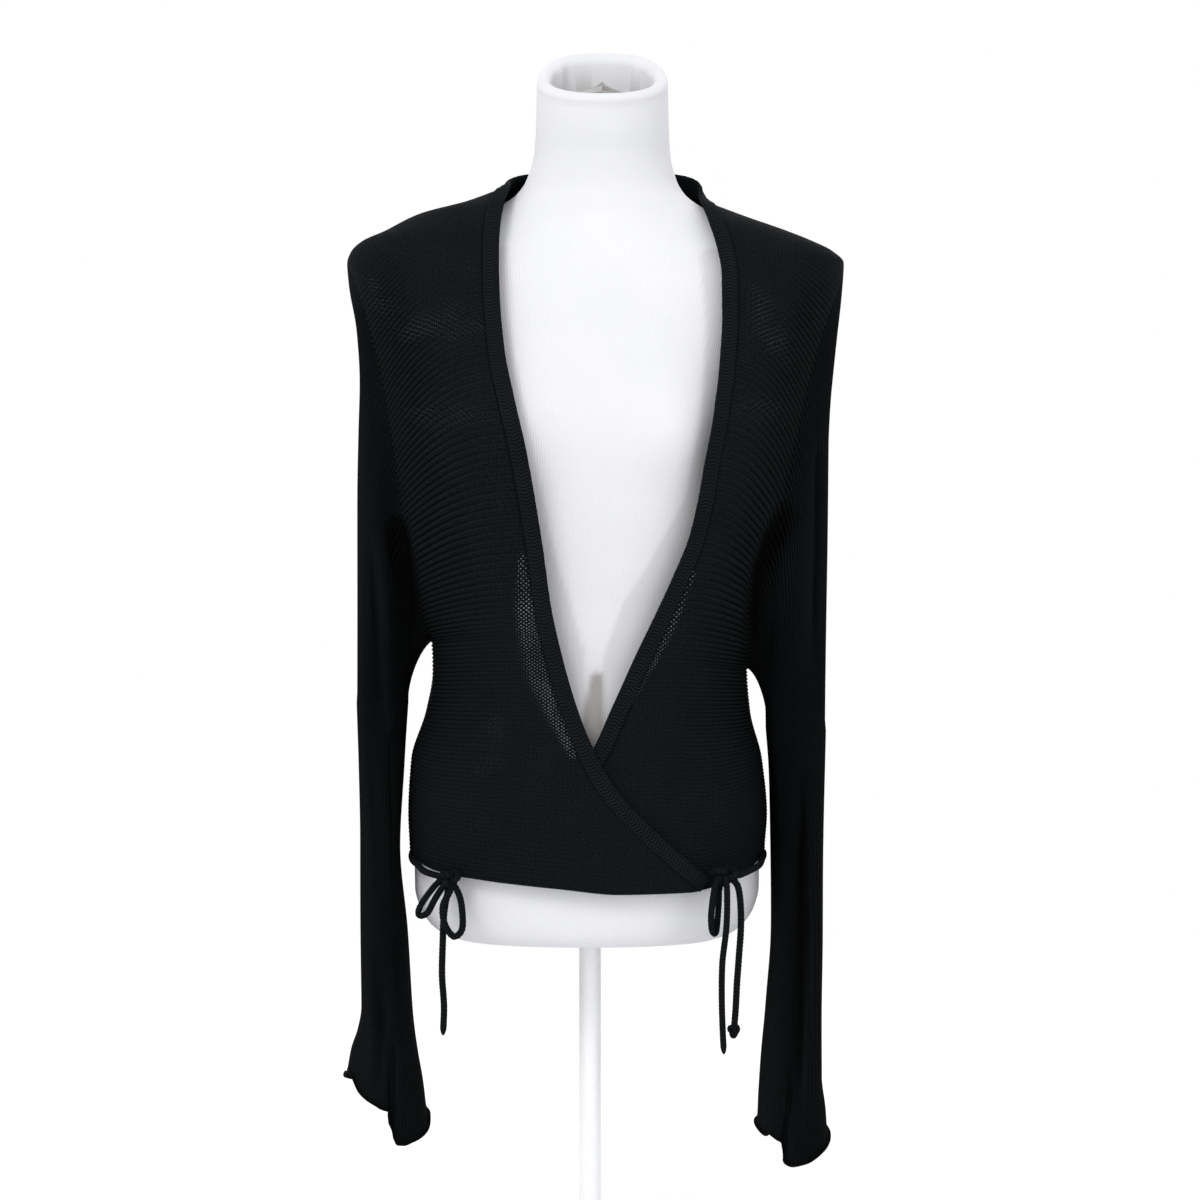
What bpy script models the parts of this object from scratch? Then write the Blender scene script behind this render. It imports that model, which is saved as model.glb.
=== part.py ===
"""A black knitted wrap cardigan on a limbless dress form with a pole and a round base.

Metres, +Z up, the front faces -Y and the wearer's right is at -X. The origin is at the middle of
the base's underside. The knit runs sideways: each row of a panel follows one rib from the front
edge, over the body, and on down the sleeve.
"""

import math

import bmesh
import bpy
import numpy as np

# ---------------------------------------------------------------- driving dimensions
WALL = 0.002            # thickness of the knit
SEAM = 0.0003           # gap that sewn pieces keep
ROUNDNESS = 2.3         # exponent of the body's cross-sections: 2 is an ellipse
OVERLAP = 0.0046        # how far the upper front lies over the lower one where they cross

LOWER_ROWS = 9          # rows of the body between the hem and the underarm
UPPER_ROWS = 16         # rows of the body between the underarm and the shoulder
CROWDING = 1.3          # above 1 the rows lie closer together at the underarm than higher up
FRONT_COLUMNS = 12      # columns of a front, from its free edge to the side
NECK_COLUMNS = 10       # columns of the back between the two neck points

BAND_WIDTH = 0.0125     # the knitted band along the fronts and the back of the neck
BAND_HALF = 0.0015      # half of its thickness
BAND_STAND = 0.35       # how much more upright than the back's edge the band stands on it

CORD_RADIUS = 0.0026    # the tie cords
CORD_STEP = 0.0060      # distance between the points of a cord's curve

POLE_RADIUS = 0.0090
BASE_RADIUS = 0.140
BASE_THICK = 0.012
BUST_HEIGHT = 0.708
BUST_APART = 0.068      # from the middle line to the fullest point
RIM_SLOPE = 0.50        # the neck's rim falls this much for each metre towards the front
RECESS_DEPTH = 0.030    # hollow inside the neck's rim
RECESS_WALL = 0.007


def table(names, *rows):
    """Named columns from rows of numbers."""
    return {name: np.array(column, float) for name, column in zip(names.split(), zip(*rows))}


# The dress form: half its width, its depth to the front and to the back, and its leaning middle.
FORM = table(
    "height half_width front back lean shift",
    (0.300, 0.108, 0.078, 0.084, -0.0025, 0.000),
    (0.304, 0.119, 0.086, 0.094, -0.0025, 0.000),
    (0.312, 0.129, 0.091, 0.101, -0.0025, 0.000),
    (0.324, 0.1365, 0.094, 0.106, -0.0025, 0.000),
    (0.340, 0.1405, 0.095, 0.109, -0.0025, 0.000),
    (0.370, 0.1408, 0.096, 0.110, -0.0025, 0.000),
    (0.400, 0.1398, 0.096, 0.109, -0.0025, 0.000),
    (0.440, 0.1345, 0.093, 0.098, -0.0025, 0.000),
    (0.485, 0.1225, 0.087, 0.082, -0.0025, 0.000),
    (0.520, 0.1180, 0.083, 0.074, -0.0020, 0.000),
    (0.560, 0.1195, 0.084, 0.074, -0.0015, 0.000),
    (0.600, 0.1250, 0.089, 0.078, -0.0010, 0.000),
    (0.650, 0.1350, 0.098, 0.086, 0.0000, 0.000),
    (0.700, 0.1470, 0.103, 0.095, 0.0010, 0.000),
    (0.750, 0.1610, 0.097, 0.102, 0.0020, 0.001),
    (0.790, 0.1760, 0.088, 0.101, 0.0032, 0.002),
    (0.820, 0.1870, 0.080, 0.096, 0.0040, 0.003),
    (0.836, 0.1915, 0.075, 0.091, 0.0045, 0.004),
    (0.846, 0.1905, 0.071, 0.088, 0.0048, 0.005),
    (0.855, 0.1820, 0.067, 0.084, 0.0052, 0.006),
    (0.866, 0.1590, 0.062, 0.079, 0.0058, 0.007),
    (0.876, 0.1330, 0.058, 0.074, 0.0064, 0.008),
    (0.886, 0.1070, 0.055, 0.069, 0.0072, 0.009),
    (0.896, 0.0840, 0.053, 0.063, 0.0080, 0.009),
    (0.906, 0.0700, 0.051, 0.058, 0.0088, 0.009),
    (0.918, 0.0620, 0.050, 0.054, 0.0094, 0.008),
    (0.940, 0.0560, 0.050, 0.052, 0.0100, 0.006),
    (0.965, 0.0545, 0.051, 0.052, 0.0102, 0.003),
    (1.003, 0.0537, 0.052, 0.052, 0.0102, 0.000),
)

# The worn cardigan's body: how far each side and the front and back reach at each height. Above
# 0.849 the sides are the slope of the shoulders.
BODY = table(
    "height right left front back",
    (0.340, 0.1470, 0.1432, 0.1030, 0.1160),
    (0.370, 0.1475, 0.1432, 0.1035, 0.1160),
    (0.400, 0.1488, 0.1450, 0.1035, 0.1145),
    (0.444, 0.1465, 0.1410, 0.1015, 0.1040),
    (0.485, 0.1340, 0.1310, 0.0990, 0.0910),
    (0.515, 0.1290, 0.1290, 0.0985, 0.0860),
    (0.540, 0.1300, 0.1330, 0.0990, 0.0860),
    (0.560, 0.1390, 0.1370, 0.1005, 0.0870),
    (0.600, 0.1500, 0.1450, 0.1050, 0.0910),
    (0.631, 0.1600, 0.1560, 0.1100, 0.0960),
    (0.655, 0.1640, 0.1660, 0.1130, 0.0990),
    (0.700, 0.1705, 0.1770, 0.1150, 0.1050),
    (0.750, 0.1780, 0.1870, 0.1080, 0.1110),
    (0.800, 0.1880, 0.1990, 0.0970, 0.1120),
    (0.836, 0.1960, 0.2080, 0.0870, 0.1060),
    (0.850, 0.1993, 0.2083, 0.0820, 0.1020),
    (0.859, 0.1965, 0.2000, 0.0780, 0.0980),
    (0.867, 0.1885, 0.1840, 0.0755, 0.0950),
    (0.875, 0.1710, 0.1640, 0.0730, 0.0920),
    (0.889, 0.1435, 0.1246, 0.0660, 0.0840),
    (0.899, 0.1058, 0.1000, 0.0600, 0.0760),
    (0.910, 0.0756, 0.0860, 0.0540, 0.0700),
)

# Where each front's panel ends along the band, from the hem's tip up to the neck point.
EDGE_RIGHT = table(
    "height x",
    (0.340, 0.0960), (0.3618, 0.0690), (0.3855, 0.0433), (0.4121, 0.0175), (0.4399, -0.0012),
    (0.4835, -0.0199), (0.5257, -0.0324), (0.567, -0.0416), (0.615, -0.0482), (0.687, -0.0602),
    (0.729, -0.0698), (0.7666, -0.0776), (0.818, -0.0826), (0.8575, -0.0836), (0.8853, -0.0815),
    (0.9100, -0.0756),
)
EDGE_LEFT = table(
    "height x",
    (0.345, -0.0960), (0.372, -0.0660), (0.405, -0.0300), (0.4453, 0.0090), (0.4866, 0.0290),
    (0.5241, 0.0460), (0.5576, 0.0620), (0.5872, 0.0755), (0.6203, 0.0885), (0.6495, 0.0952),
    (0.6778, 0.0997), (0.7167, 0.1070), (0.7545, 0.1125), (0.7979, 0.1158), (0.8309, 0.1160),
    (0.8594, 0.1116), (0.8802, 0.1054), (0.8990, 0.1000),
)

# The hem's height across the front.
HEM = table(
    "x height",
    (-0.1484, 0.3698), (-0.1233, 0.3605), (-0.086, 0.3560), (-0.023, 0.3500), (0.0245, 0.3455),
    (0.0785, 0.3459), (0.0993, 0.3492), (0.1223, 0.3575), (0.1419, 0.3698),
)
BACK_HEM = 0.3670       # the hem's height at the middle of the back
TUCK = 0.004            # the lower front's hem lies this much higher where it is covered

UNDERARM = {"right": 0.540, "left": 0.518}
SHOULDER = {"right": 0.850, "left": 0.850}
NECK_POINT = {"right": 0.9100, "left": 0.8990}
NECK_RISE = 0.024       # how much higher than the neck points the back's neckline runs
ARMHOLE_INSET = 0.012   # how far the armhole's seam lies inside the outline at its middle

# The sleeves: the outline's two edges in front view, depth to front and back, and how far the
# flattened tube is turned, as the front's offset to the wearer's left.
SLEEVE = {
    "right": table(
        "height outer inner front back turn",
        (0.490, 0.1911, 0.1495, 0.060, 0.062, 0.002),
        (0.440, 0.1911, 0.1515, 0.062, 0.064, 0.006),
        (0.375, 0.1911, 0.1542, 0.064, 0.066, 0.010),
        (0.305, 0.1902, 0.1485, 0.065, 0.068, 0.008),
        (0.237, 0.1897, 0.1440, 0.067, 0.070, 0.010),
        (0.200, 0.1935, 0.1395, 0.070, 0.072, 0.016),
        (0.172, 0.1990, 0.1355, 0.073, 0.075, 0.021),
        (0.143, 0.2030, 0.1325, 0.076, 0.078, 0.024),
    ),
    "left": table(
        "height outer inner front back turn",
        (0.468, 0.1915, 0.1460, 0.060, 0.062, 0.003),
        (0.433, 0.1900, 0.1490, 0.062, 0.064, 0.004),
        (0.373, 0.1885, 0.1505, 0.064, 0.066, 0.004),
        (0.300, 0.1875, 0.1515, 0.066, 0.068, 0.005),
        (0.235, 0.1855, 0.1480, 0.068, 0.070, 0.008),
        (0.186, 0.1850, 0.1445, 0.071, 0.073, 0.010),
        (0.152, 0.1880, 0.1425, 0.074, 0.076, 0.010),
        (0.1255, 0.1900, 0.1410, 0.076, 0.078, 0.008),
    ),
}
# The outer edge of each sleeve above its first level ring. Nothing reaches further out.
OUTLINE_SOFT = 0.0015   # how softly the sleeve comes up to it
OUTLINE = {
    "right": table(
        "height x",
        (0.490, 0.1911), (0.654, 0.1902), (0.710, 0.1886), (0.751, 0.1872), (0.792, 0.1900),
        (0.833, 0.1985), (0.850, 0.2010),
    ),
    "left": table(
        "height x",
        (0.468, 0.1915), (0.600, 0.1938), (0.700, 0.1940), (0.7323, 0.1955),
        (0.7577, 0.1980), (0.7954, 0.2025), (0.8364, 0.2090), (0.850, 0.2110),
    ),
}
# The cuffs' rims: how much higher than its lowest point each rim is, round from the inner edge
# over the front to the outer edge, and back over the rear.
CUFF_RIM = {
    "right": table(
        "round rise",
        (0.00, 0.018), (0.12, 0.0190), (0.15, 0.0145), (0.20, 0.0075), (0.24, 0.0030),
        (0.262, 0.000), (0.272, 0.0055), (0.288, 0.027), (0.330, 0.031), (0.40, 0.035),
        (0.50, 0.036), (0.62, 0.028), (0.78, 0.018), (1.00, 0.018),
    ),
    "left": table(
        "round rise",
        (0.00, 0.004), (0.05, 0.010), (0.120, 0.017), (0.145, 0.010), (0.165, 0.001),
        (0.200, 0.000), (0.250, 0.004), (0.290, 0.0125), (0.330, 0.017), (0.40, 0.020),
        (0.50, 0.020), (0.62, 0.012), (0.78, 0.008), (1.00, 0.004),
    ),
}
CUFF_ROUND = 2.5        # exponent of a sleeve's cross-sections
CUFF_FLARE = 0.0025     # the last few millimetres curl outwards

HOLLOW_ALONG = 0.24     # the deep fold between the body and each sleeve: its place and width on
HOLLOW_WIDE = 0.11      # the ring, and how deep it goes
HOLLOW_DEEP = 0.012

# How a sleeve leaves the armhole, from the underarm to the shoulder: outwards, back and down.
SLEEVE_START = table(
    "along out back down",
    (0.00, 0.030, 0.000, 0.020),
    (0.12, 0.034, 0.012, 0.040),
    (0.25, 0.034, 0.022, 0.070),
    (0.38, 0.045, 0.014, 0.100),
    (0.55, 0.045, 0.012, 0.120),
    (0.80, 0.016, 0.014, 0.100),
    (1.00, 0.004, 0.000, 0.030),
)

# Long creases of the sleeves, seen from the front or the back: the line that each follows, and
# its width and depth.
CREASES = {
    "right": table(
        "face top top_x bottom bottom_x width depth",
        (-1, 0.520, 0.1730, 0.330, 0.1660, 0.0095, 0.005),
        (-1, 0.310, 0.1640, 0.140, 0.1690, 0.0090, 0.006),
        (1, 0.460, 0.1720, 0.220, 0.1740, 0.0095, 0.005),
    ),
    "left": table(
        "face top top_x bottom bottom_x width depth",
        (-1, 0.710, 0.1840, 0.480, 0.1790, 0.0090, 0.005),
        (-1, 0.420, 0.1680, 0.140, 0.1640, 0.0090, 0.007),
        (1, 0.450, 0.1710, 0.230, 0.1690, 0.0095, 0.005),
    ),
}

# The ties, as the points that each cord follows from its knot, and the knots' places and sizes.
KNOTS = {
    "tie_knot_right": ((-0.1093, -0.0900, 0.3562), (0.0095, 0.0070, 0.0075)),
    "tie_knot_left": ((0.1050, -0.0925, 0.3585), (0.0120, 0.0075, 0.0085)),
}
CORDS = {
    "tie_run_right": (
        (-0.1160, -0.0836, 0.3565), (-0.1300, -0.0745, 0.3597), (-0.1400, -0.0590, 0.3630),
        (-0.1455, -0.0430, 0.3650), (-0.1479, -0.0270, 0.3665), (-0.1488, -0.0090, 0.3682),
    ),
    "tie_loop_right_outer": (
        (-0.1180, -0.0850, 0.3530), (-0.1275, -0.0885, 0.3420), (-0.1335, -0.0900, 0.3320),
        (-0.1330, -0.0905, 0.3270), (-0.1270, -0.0905, 0.3290), (-0.1215, -0.0900, 0.3390),
        (-0.1165, -0.0885, 0.3470),
    ),
    "tie_loop_right_inner": (
        (-0.1090, -0.0913, 0.3470), (-0.1145, -0.0945, 0.3350), (-0.1130, -0.0960, 0.3210),
        (-0.1060, -0.0965, 0.3115), (-0.0995, -0.0965, 0.3170), (-0.0995, -0.0955, 0.3320),
        (-0.1022, -0.0922, 0.3438),
    ),
    "tie_end_right": (
        (-0.1104, -0.0821, 0.3504), (-0.1140, -0.0860, 0.3290), (-0.1150, -0.0895, 0.3050),
        (-0.1155, -0.0900, 0.2800), (-0.1140, -0.0895, 0.2560), (-0.1148, -0.0890, 0.2330),
    ),
    "tie_run_left": (
        (0.1163, -0.0892, 0.3583), (0.1270, -0.0800, 0.3615), (0.1345, -0.0670, 0.3640),
        (0.1415, -0.0460, 0.3662), (0.1441, -0.0260, 0.3675), (0.1450, -0.0060, 0.3688),
    ),
    "tie_loop_left": (
        (0.0990, -0.1000, 0.3543), (0.0960, -0.1045, 0.3420), (0.0945, -0.1055, 0.3270),
        (0.0955, -0.1040, 0.3165), (0.0985, -0.1000, 0.3150), (0.1000, -0.0975, 0.3260),
        (0.1010, -0.0955, 0.3400), (0.1015, -0.0945, 0.3485),
    ),
    "tie_end_left_inner": (
        (0.1068, -0.1003, 0.3532), (0.1070, -0.1050, 0.3380), (0.1062, -0.1062, 0.3180),
        (0.1032, -0.1060, 0.2920), (0.1028, -0.1055, 0.2640), (0.1035, -0.1050, 0.2400),
        (0.1045, -0.1045, 0.2210),
    ),
    "tie_end_left_outer": (
        (0.1145, -0.0965, 0.3530), (0.1175, -0.0985, 0.3400), (0.1180, -0.0990, 0.3190),
        (0.1165, -0.0985, 0.2960), (0.1150, -0.0980, 0.2750), (0.1140, -0.0975, 0.2550),
        (0.1125, -0.0970, 0.2360),
    ),
}

SIGN = {"right": -1.0, "left": 1.0}


# ---------------------------------------------------------------- smooth readings of a table
def read(rows, name, at, key="height"):
    """A column at any place, on a smooth curve through the rows that never overshoots them."""
    x, y = rows[key], rows[name]
    at = np.clip(np.asarray(at, float), x[0], x[-1])
    step = np.diff(x)
    slope = np.diff(y) / step
    turn = np.zeros_like(y)
    same = slope[:-1] * slope[1:] > 0
    both = np.where(same, slope[:-1] + slope[1:], 1.0)
    turn[1:-1] = np.where(same, 2 * slope[:-1] * slope[1:] / both, 0.0)
    turn[0], turn[-1] = slope[0], slope[-1]
    i = np.clip(np.searchsorted(x, at, side="right") - 1, 0, len(step) - 1)
    t = (at - x[i]) / step[i]
    start, end = y[i] * (1 + 2 * t), y[i + 1] * (3 - 2 * t)
    return (
        start * (1 - t) ** 2
        + end * t**2
        + step[i] * t * (1 - t) * (turn[i] * (1 - t) - turn[i + 1] * t)
    )


def smooth(low, high, at):
    """0 below low, 1 above high, and an even curve between them."""
    t = np.clip((np.asarray(at, float) - low) / (high - low), 0.0, 1.0)
    return t * t * (3 - 2 * t)


def section_depth(across, half_width, depth):
    """How deep a rounded cross-section is at a distance from its middle."""
    share = np.clip(np.abs(across) / half_width, 0.0, 1.0)
    return depth * (1 - share**ROUNDNESS) ** (1 / ROUNDNESS)


def bust(across, height, wide, tall, full):
    """The soft rise over the bust, on both sides of the middle line."""
    lift = np.exp(-(((height - BUST_HEIGHT) / tall) ** 2))
    near = np.exp(-(((np.abs(across) - BUST_APART) / wide) ** 2))
    return full * lift * near


# ---------------------------------------------------------------- the cardigan's surfaces
def middle(height):
    """The body's middle line: its x and its y."""
    return read(FORM, "lean", height), read(FORM, "shift", height)


def front_y(side, x, height):
    """The y of the fronts' outer face. The right front lies over the left one."""
    lean, shift = middle(height)
    reach = np.where(x < lean, read(BODY, "right", height) + lean, read(BODY, "left", height) - lean)
    across = x - lean
    depth = section_depth(across, reach, read(BODY, "front", height))
    share = np.clip(np.abs(across) / reach, 0.0, 1.0)
    depth = depth + bust(across, height, 0.046, 0.058, 0.016) * (1 - share**4)
    if side == "right":
        lap = smooth(0.700, 0.480, height) * smooth(-0.140, -0.100, x)
        depth = depth + OVERLAP * lap
    return shift - depth


def back_y(x, height):
    """The y of the back's outer face."""
    lean, shift = middle(height)
    reach = np.where(x < lean, read(BODY, "right", height) + lean, read(BODY, "left", height) - lean)
    return shift + section_depth(x - lean, reach, read(BODY, "back", height))


def ridge(side, x):
    """The height of the shoulder's slope at an x."""
    slope = BODY["height"] >= SHOULDER[side]
    out = BODY[side][slope][::-1]
    return np.interp(np.abs(x), out, BODY["height"][slope][::-1])


def armhole(side, along):
    """The x and height of the armhole's seam, from the underarm, 0, to the shoulder, 1."""
    low, high = UNDERARM[side], SHOULDER[side]
    height = high - (high - low) * (1 - along) ** 1.3
    t = (height - low) / (high - low)
    inset = ARMHOLE_INSET * (4 * t * (1 - t)) ** 0.8
    return SIGN[side] * (read(BODY, side, height) - inset), height


def row_end(side, row):
    """The x and height where a rib leaves the body: at the side seam, or at the armhole."""
    if row <= 0:
        height = UNDERARM[side] + (HEM["height"][0] - UNDERARM[side]) * -row
        return SIGN[side] * float(read(BODY, side, height)), height
    x, height = armhole(side, row)
    return float(x), float(height)


def row_height(side, row, x, edge_height, edge_x):
    """The height of a front's rib at an x, between its front edge and its outer end."""
    end_x, end_height = row_end(side, row)
    run = np.clip((x - edge_x) / (end_x - edge_x), 0.0, 1.0)
    if row <= 0:
        hem = read(HEM, "height", x, key="x")
        if side == "left":
            hem = hem + TUCK * smooth(0.090, 0.060, x)
        level = UNDERARM[side] + 0.006 * (1 - run**3)
        return hem + (level - hem) * (1 + row)
    flat = edge_height + (end_height - edge_height) * run**2.2
    drop_edge = ridge(side, edge_x) - edge_height
    drop_end = ridge(side, end_x) - end_height
    sloping = ridge(side, x) - (drop_edge + (drop_end - drop_edge) * run)
    near_ridge = float(smooth(0.35, 1.0, row))
    return sloping * near_ridge + flat * (1 - near_ridge)


def edge_start(side, row):
    """Where a rib starts on the front edge: its x and its height."""
    edge = EDGE_RIGHT if side == "right" else EDGE_LEFT
    if row > 0:
        low, high = UNDERARM[side] + 0.006, NECK_POINT[side]
        height = high - (high - low) * (1 - row) ** 1.5
        return float(read(edge, "x", height)), height
    low, high = float(edge["height"][0]), UNDERARM[side] + 0.02
    for _ in range(40):
        height = (low + high) / 2
        x = float(read(edge, "x", height))
        wanted = float(row_height(side, row, x, height, x))
        low, high = (height, high) if wanted > height else (low, height)
    return x, height


def rows():
    """The ribs that the panels' rows follow: -1 at the hem, 0 at the underarm, 1 at the shoulder."""
    lower = [i / LOWER_ROWS - 1 for i in range(LOWER_ROWS)]
    return lower + [(i / UPPER_ROWS) ** CROWDING for i in range(UPPER_ROWS + 1)]


def across_front():
    """Places of the columns, 0 at the free edge and 1 at the side: closer together at the side."""
    even = np.linspace(0, 1, FRONT_COLUMNS + 1)
    return 0.2 * even + 0.8 * np.sin(even * math.pi / 2)


def front_panel(side):
    """Points of a front's outer face: a row for each rib, from the front edge to the outer end."""
    grid = []
    for row in rows():
        edge_x, edge_height = edge_start(side, row)
        end_x, _ = row_end(side, row)
        x = edge_x + (end_x - edge_x) * across_front()
        if row == 1:
            height = ridge(side, x)
            y = middle(height)[1]
        else:
            height = row_height(side, row, x, edge_height, edge_x)
            height[0], height[-1] = edge_height, row_end(side, row)[1]
            y = front_y(side, x, height)
        if row <= 0:
            y[-1] = middle(height[-1])[1]
        grid.append(np.stack([x, y, height], axis=1))
    grid = np.array(grid)
    grid[-1, -1, 1] = middle(grid[-1, -1, 2])[1]
    return grid


def back_panel(front_right, front_left):
    """Points of the back's outer face, in the same rows, from the right side to the left one."""
    fronts = {"right": front_right, "left": front_left}
    turn = across_front()[::-1]
    t = np.linspace(0, 1, NECK_COLUMNS + 1)[1:-1]
    grid = []
    for i, row in enumerate(rows()):
        sides, level = {}, {}
        for side, front in fronts.items():
            neck_x, end_x = front[-1][0][0], front[i][-1][0]
            x = neck_x + (end_x - neck_x) * turn
            low = UNDERARM[side] + 0.006
            if row > 0:
                level[side] = NECK_POINT[side] - (NECK_POINT[side] - low) * (1 - row) ** 1.5
            else:
                level[side] = low + (BACK_HEM - low) * -row
            if row == 1:
                height = front[-1][::-1, 2]
            elif row > 0:
                height = row_height(side, row, x, level[side], neck_x)
            else:
                run = (x - neck_x) / (end_x - neck_x)
                height = level[side] + (row_end(side, row)[1] - level[side]) * run**2.2
            y = back_y(x, height)
            y[0] = front[i][-1][1] if row <= 0 else y[0]
            sides[side] = np.stack([x, y, height], axis=1)
        if row == 1:
            sides = {side: front[-1][::-1] for side, front in fronts.items()}
        right, left = sides["right"][-1], sides["left"][-1]
        rise = NECK_RISE * float(smooth(0.35, 1.0, row)) * np.sin(math.pi * t)
        height = level["right"] + (level["left"] - level["right"]) * t + rise
        x = (right[0] + left[0]) / 2 - (left[0] - right[0]) / 2 * np.cos(t * math.pi)
        y = back_y(x, height - rise)
        if row == 1:
            y = middle(height)[1] + read(BODY, "back", height) * np.sin(t * math.pi) ** 0.8
        neck = np.stack([x, y, height], axis=1)
        grid.append(np.concatenate([sides["right"], neck, sides["left"][::-1]]))
    return np.array(grid)


# ---------------------------------------------------------------- the sleeves
def evenly(points, count):
    """The same line with count points at even steps along it."""
    along = np.concatenate([[0], np.cumsum(np.linalg.norm(np.diff(points, axis=0), axis=1))])
    at = np.linspace(0, along[-1], count)
    return np.stack([np.interp(at, along, points[:, k]) for k in range(3)], axis=1)


def crease(side, x, height, face):
    """How far a sleeve's face is pushed in by its long creases. Points run from its inner edge to
    its outer one, and the creases fade towards both."""
    found = np.zeros(np.shape(x))
    facing = np.sin(np.linspace(0, math.pi, len(x))) ** 8
    lines = CREASES[side]
    for i in np.flatnonzero(lines["face"] == face):
        span = lines["top"][i] - lines["bottom"][i]
        t = (lines["top"][i] - height) / span
        line = lines["top_x"][i] + (lines["bottom_x"][i] - lines["top_x"][i]) * t
        fade = smooth(0.0, 0.25, t) * smooth(1.0, 0.75, t)
        off = (np.abs(x) - line) / lines["width"][i]
        found = np.maximum(found, lines["depth"][i] * fade * facing * np.exp(-(off**2)))
    return found


def sleeve_ring(side, height):
    """Half rings of a sleeve at a height, inner edge to outer edge: the front's and the back's."""
    rows_of = SLEEVE[side]
    key = {name: column[::-1] for name, column in rows_of.items()}
    outer, inner, turn = (float(read(key, name, height)) for name in ("outer", "inner", "turn"))
    centre = SIGN[side] * (outer + inner) / 2
    half = (outer - inner) / 2
    angle = np.linspace(0, math.pi, 160)
    halves = []
    for face, name in ((-1, "front"), (1, "back")):
        depth = float(read(key, name, height))
        reach = np.sin(angle) ** (2 / CUFF_ROUND)
        lean = np.sign(np.cos(angle)) * np.abs(np.cos(angle)) ** (2 / CUFF_ROUND)
        width = math.sqrt(max(half * half - turn * turn, 1e-6))
        x = centre - SIGN[side] * width * lean - face * turn * reach
        y = 0.004 + face * depth * reach
        ring = np.stack([x, y, np.full_like(x, height)], axis=1)
        ring = evenly(ring, UPPER_ROWS + 1)
        ring[:, 1] -= face * crease(side, ring[:, 0], ring[:, 2], face)
        halves.append(ring)
    return halves


def sleeve_heights(side):
    """The heights of a sleeve's rings below the underarm, closer together near the cuff."""
    top, cuff = SLEEVE[side]["height"][0], SLEEVE[side]["height"][-1]
    level = top + (cuff - top) * np.linspace(0, 1, 10) ** 0.9
    return list(level[:-1]) + [cuff + 0.006, cuff]


def sleeve_surface(side, front_hole, back_hole):
    """Rings of a sleeve's outer face from the armhole to the cuff, each a closed loop of points
    that starts at the underarm, runs over the front to the shoulder and returns over the back."""
    heights = sleeve_heights(side)
    first = sleeve_ring(side, heights[0])
    along = np.array(rows()[LOWER_ROWS:])
    start = [read(SLEEVE_START, name, along, key="along") for name in ("out", "back", "down")]
    rings = []
    for t in (0.0, 0.12, 0.26, 0.42, 0.60, 0.80):
        halves = []
        for face, hole, ring in ((-1, front_hole, first[0]), (1, back_hole, first[1])):
            leave = np.stack([SIGN[side] * start[0], -face * start[1], -start[2]], axis=1)
            arrive = np.zeros_like(ring)
            arrive[:, 2] = -np.linalg.norm(ring - hole, axis=1)
            part = (
                hole * (1 + 2 * t) * (1 - t) ** 2
                + ring * (3 - 2 * t) * t**2
                + leave * t * (1 - t) ** 2
                - arrive * t**2 * (1 - t)
            )
            room = read(OUTLINE[side], "x", part[:, 2]) - np.abs(part[:, 0])
            held = OUTLINE_SOFT * np.log1p(np.exp(room / OUTLINE_SOFT))
            part[:, 0] += SIGN[side] * (room - held) * smooth(0.0, 0.12, t)
            part[:, 1] -= face * crease(side, part[:, 0], part[:, 2], face) * smooth(0.0, 0.3, t)
            hollow = np.exp(-(((along - HOLLOW_ALONG) / HOLLOW_WIDE) ** 2)) * math.sin(math.pi * t) ** 2
            part[:, 1] -= face * HOLLOW_DEEP * hollow
            halves.append(part)
        rings.append(np.concatenate([halves[0], halves[1][-2:0:-1]]))
    for k, height in enumerate(heights):
        front, back = sleeve_ring(side, height)
        ring = np.concatenate([front, back[-2:0:-1]])
        near_cuff = float(smooth(heights[-5], heights[-1], height))
        around = np.arange(len(ring)) / len(ring)
        ring[:, 2] += near_cuff * read(CUFF_RIM[side], "rise", around, key="round")
        if k == len(heights) - 1:
            out = ring[:, :2] - ring[:, :2].mean(0)
            out /= np.linalg.norm(out, axis=1)[:, None]
            ring[:, :2] += CUFF_FLARE * out
        rings.append(ring)
    return np.array(rings)


# ---------------------------------------------------------------- from surfaces to solids
def shared_normals(grids):
    """Outward normals at the points of several grids, averaged where the grids meet. Body and
    sleeve count the same there, so that both keep a wall where they meet in a sharp fold."""
    found, corners, numbers = {}, [], {}
    for name, (grid, _) in grids.items():
        number = np.zeros(grid.shape[:2], int)
        for i, j in np.ndindex(*number.shape):
            key = tuple(np.round(grid[i, j] * 1e5).astype(int))
            if key not in found:
                found[key] = len(corners)
                corners.append(grid[i, j])
            number[i, j] = found[key]
        numbers[name] = number
    corners = np.array(corners)
    sums = np.zeros((2, len(corners), 3))
    for name, (_, closed) in grids.items():
        number = numbers[name]
        if closed:
            number = np.concatenate([number, number[:, :1]], axis=1)
        a, b, c, d = number[:-1, :-1], number[:-1, 1:], number[1:, 1:], number[1:, :-1]
        turn = np.cross(corners[c] - corners[a], corners[d] - corners[b])
        turn /= np.maximum(np.linalg.norm(turn, axis=-1), 1e-12)[..., None]
        for corner in (a, b, c, d):
            np.add.at(sums[int(name.startswith("sleeve"))], corner, turn)
    sums /= np.maximum(np.linalg.norm(sums, axis=-1), 1e-12)[..., None]
    normals = sums.sum(0)
    normals /= np.linalg.norm(normals, axis=1)[:, None]
    return {name: normals[number] for name, number in numbers.items()}


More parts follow.
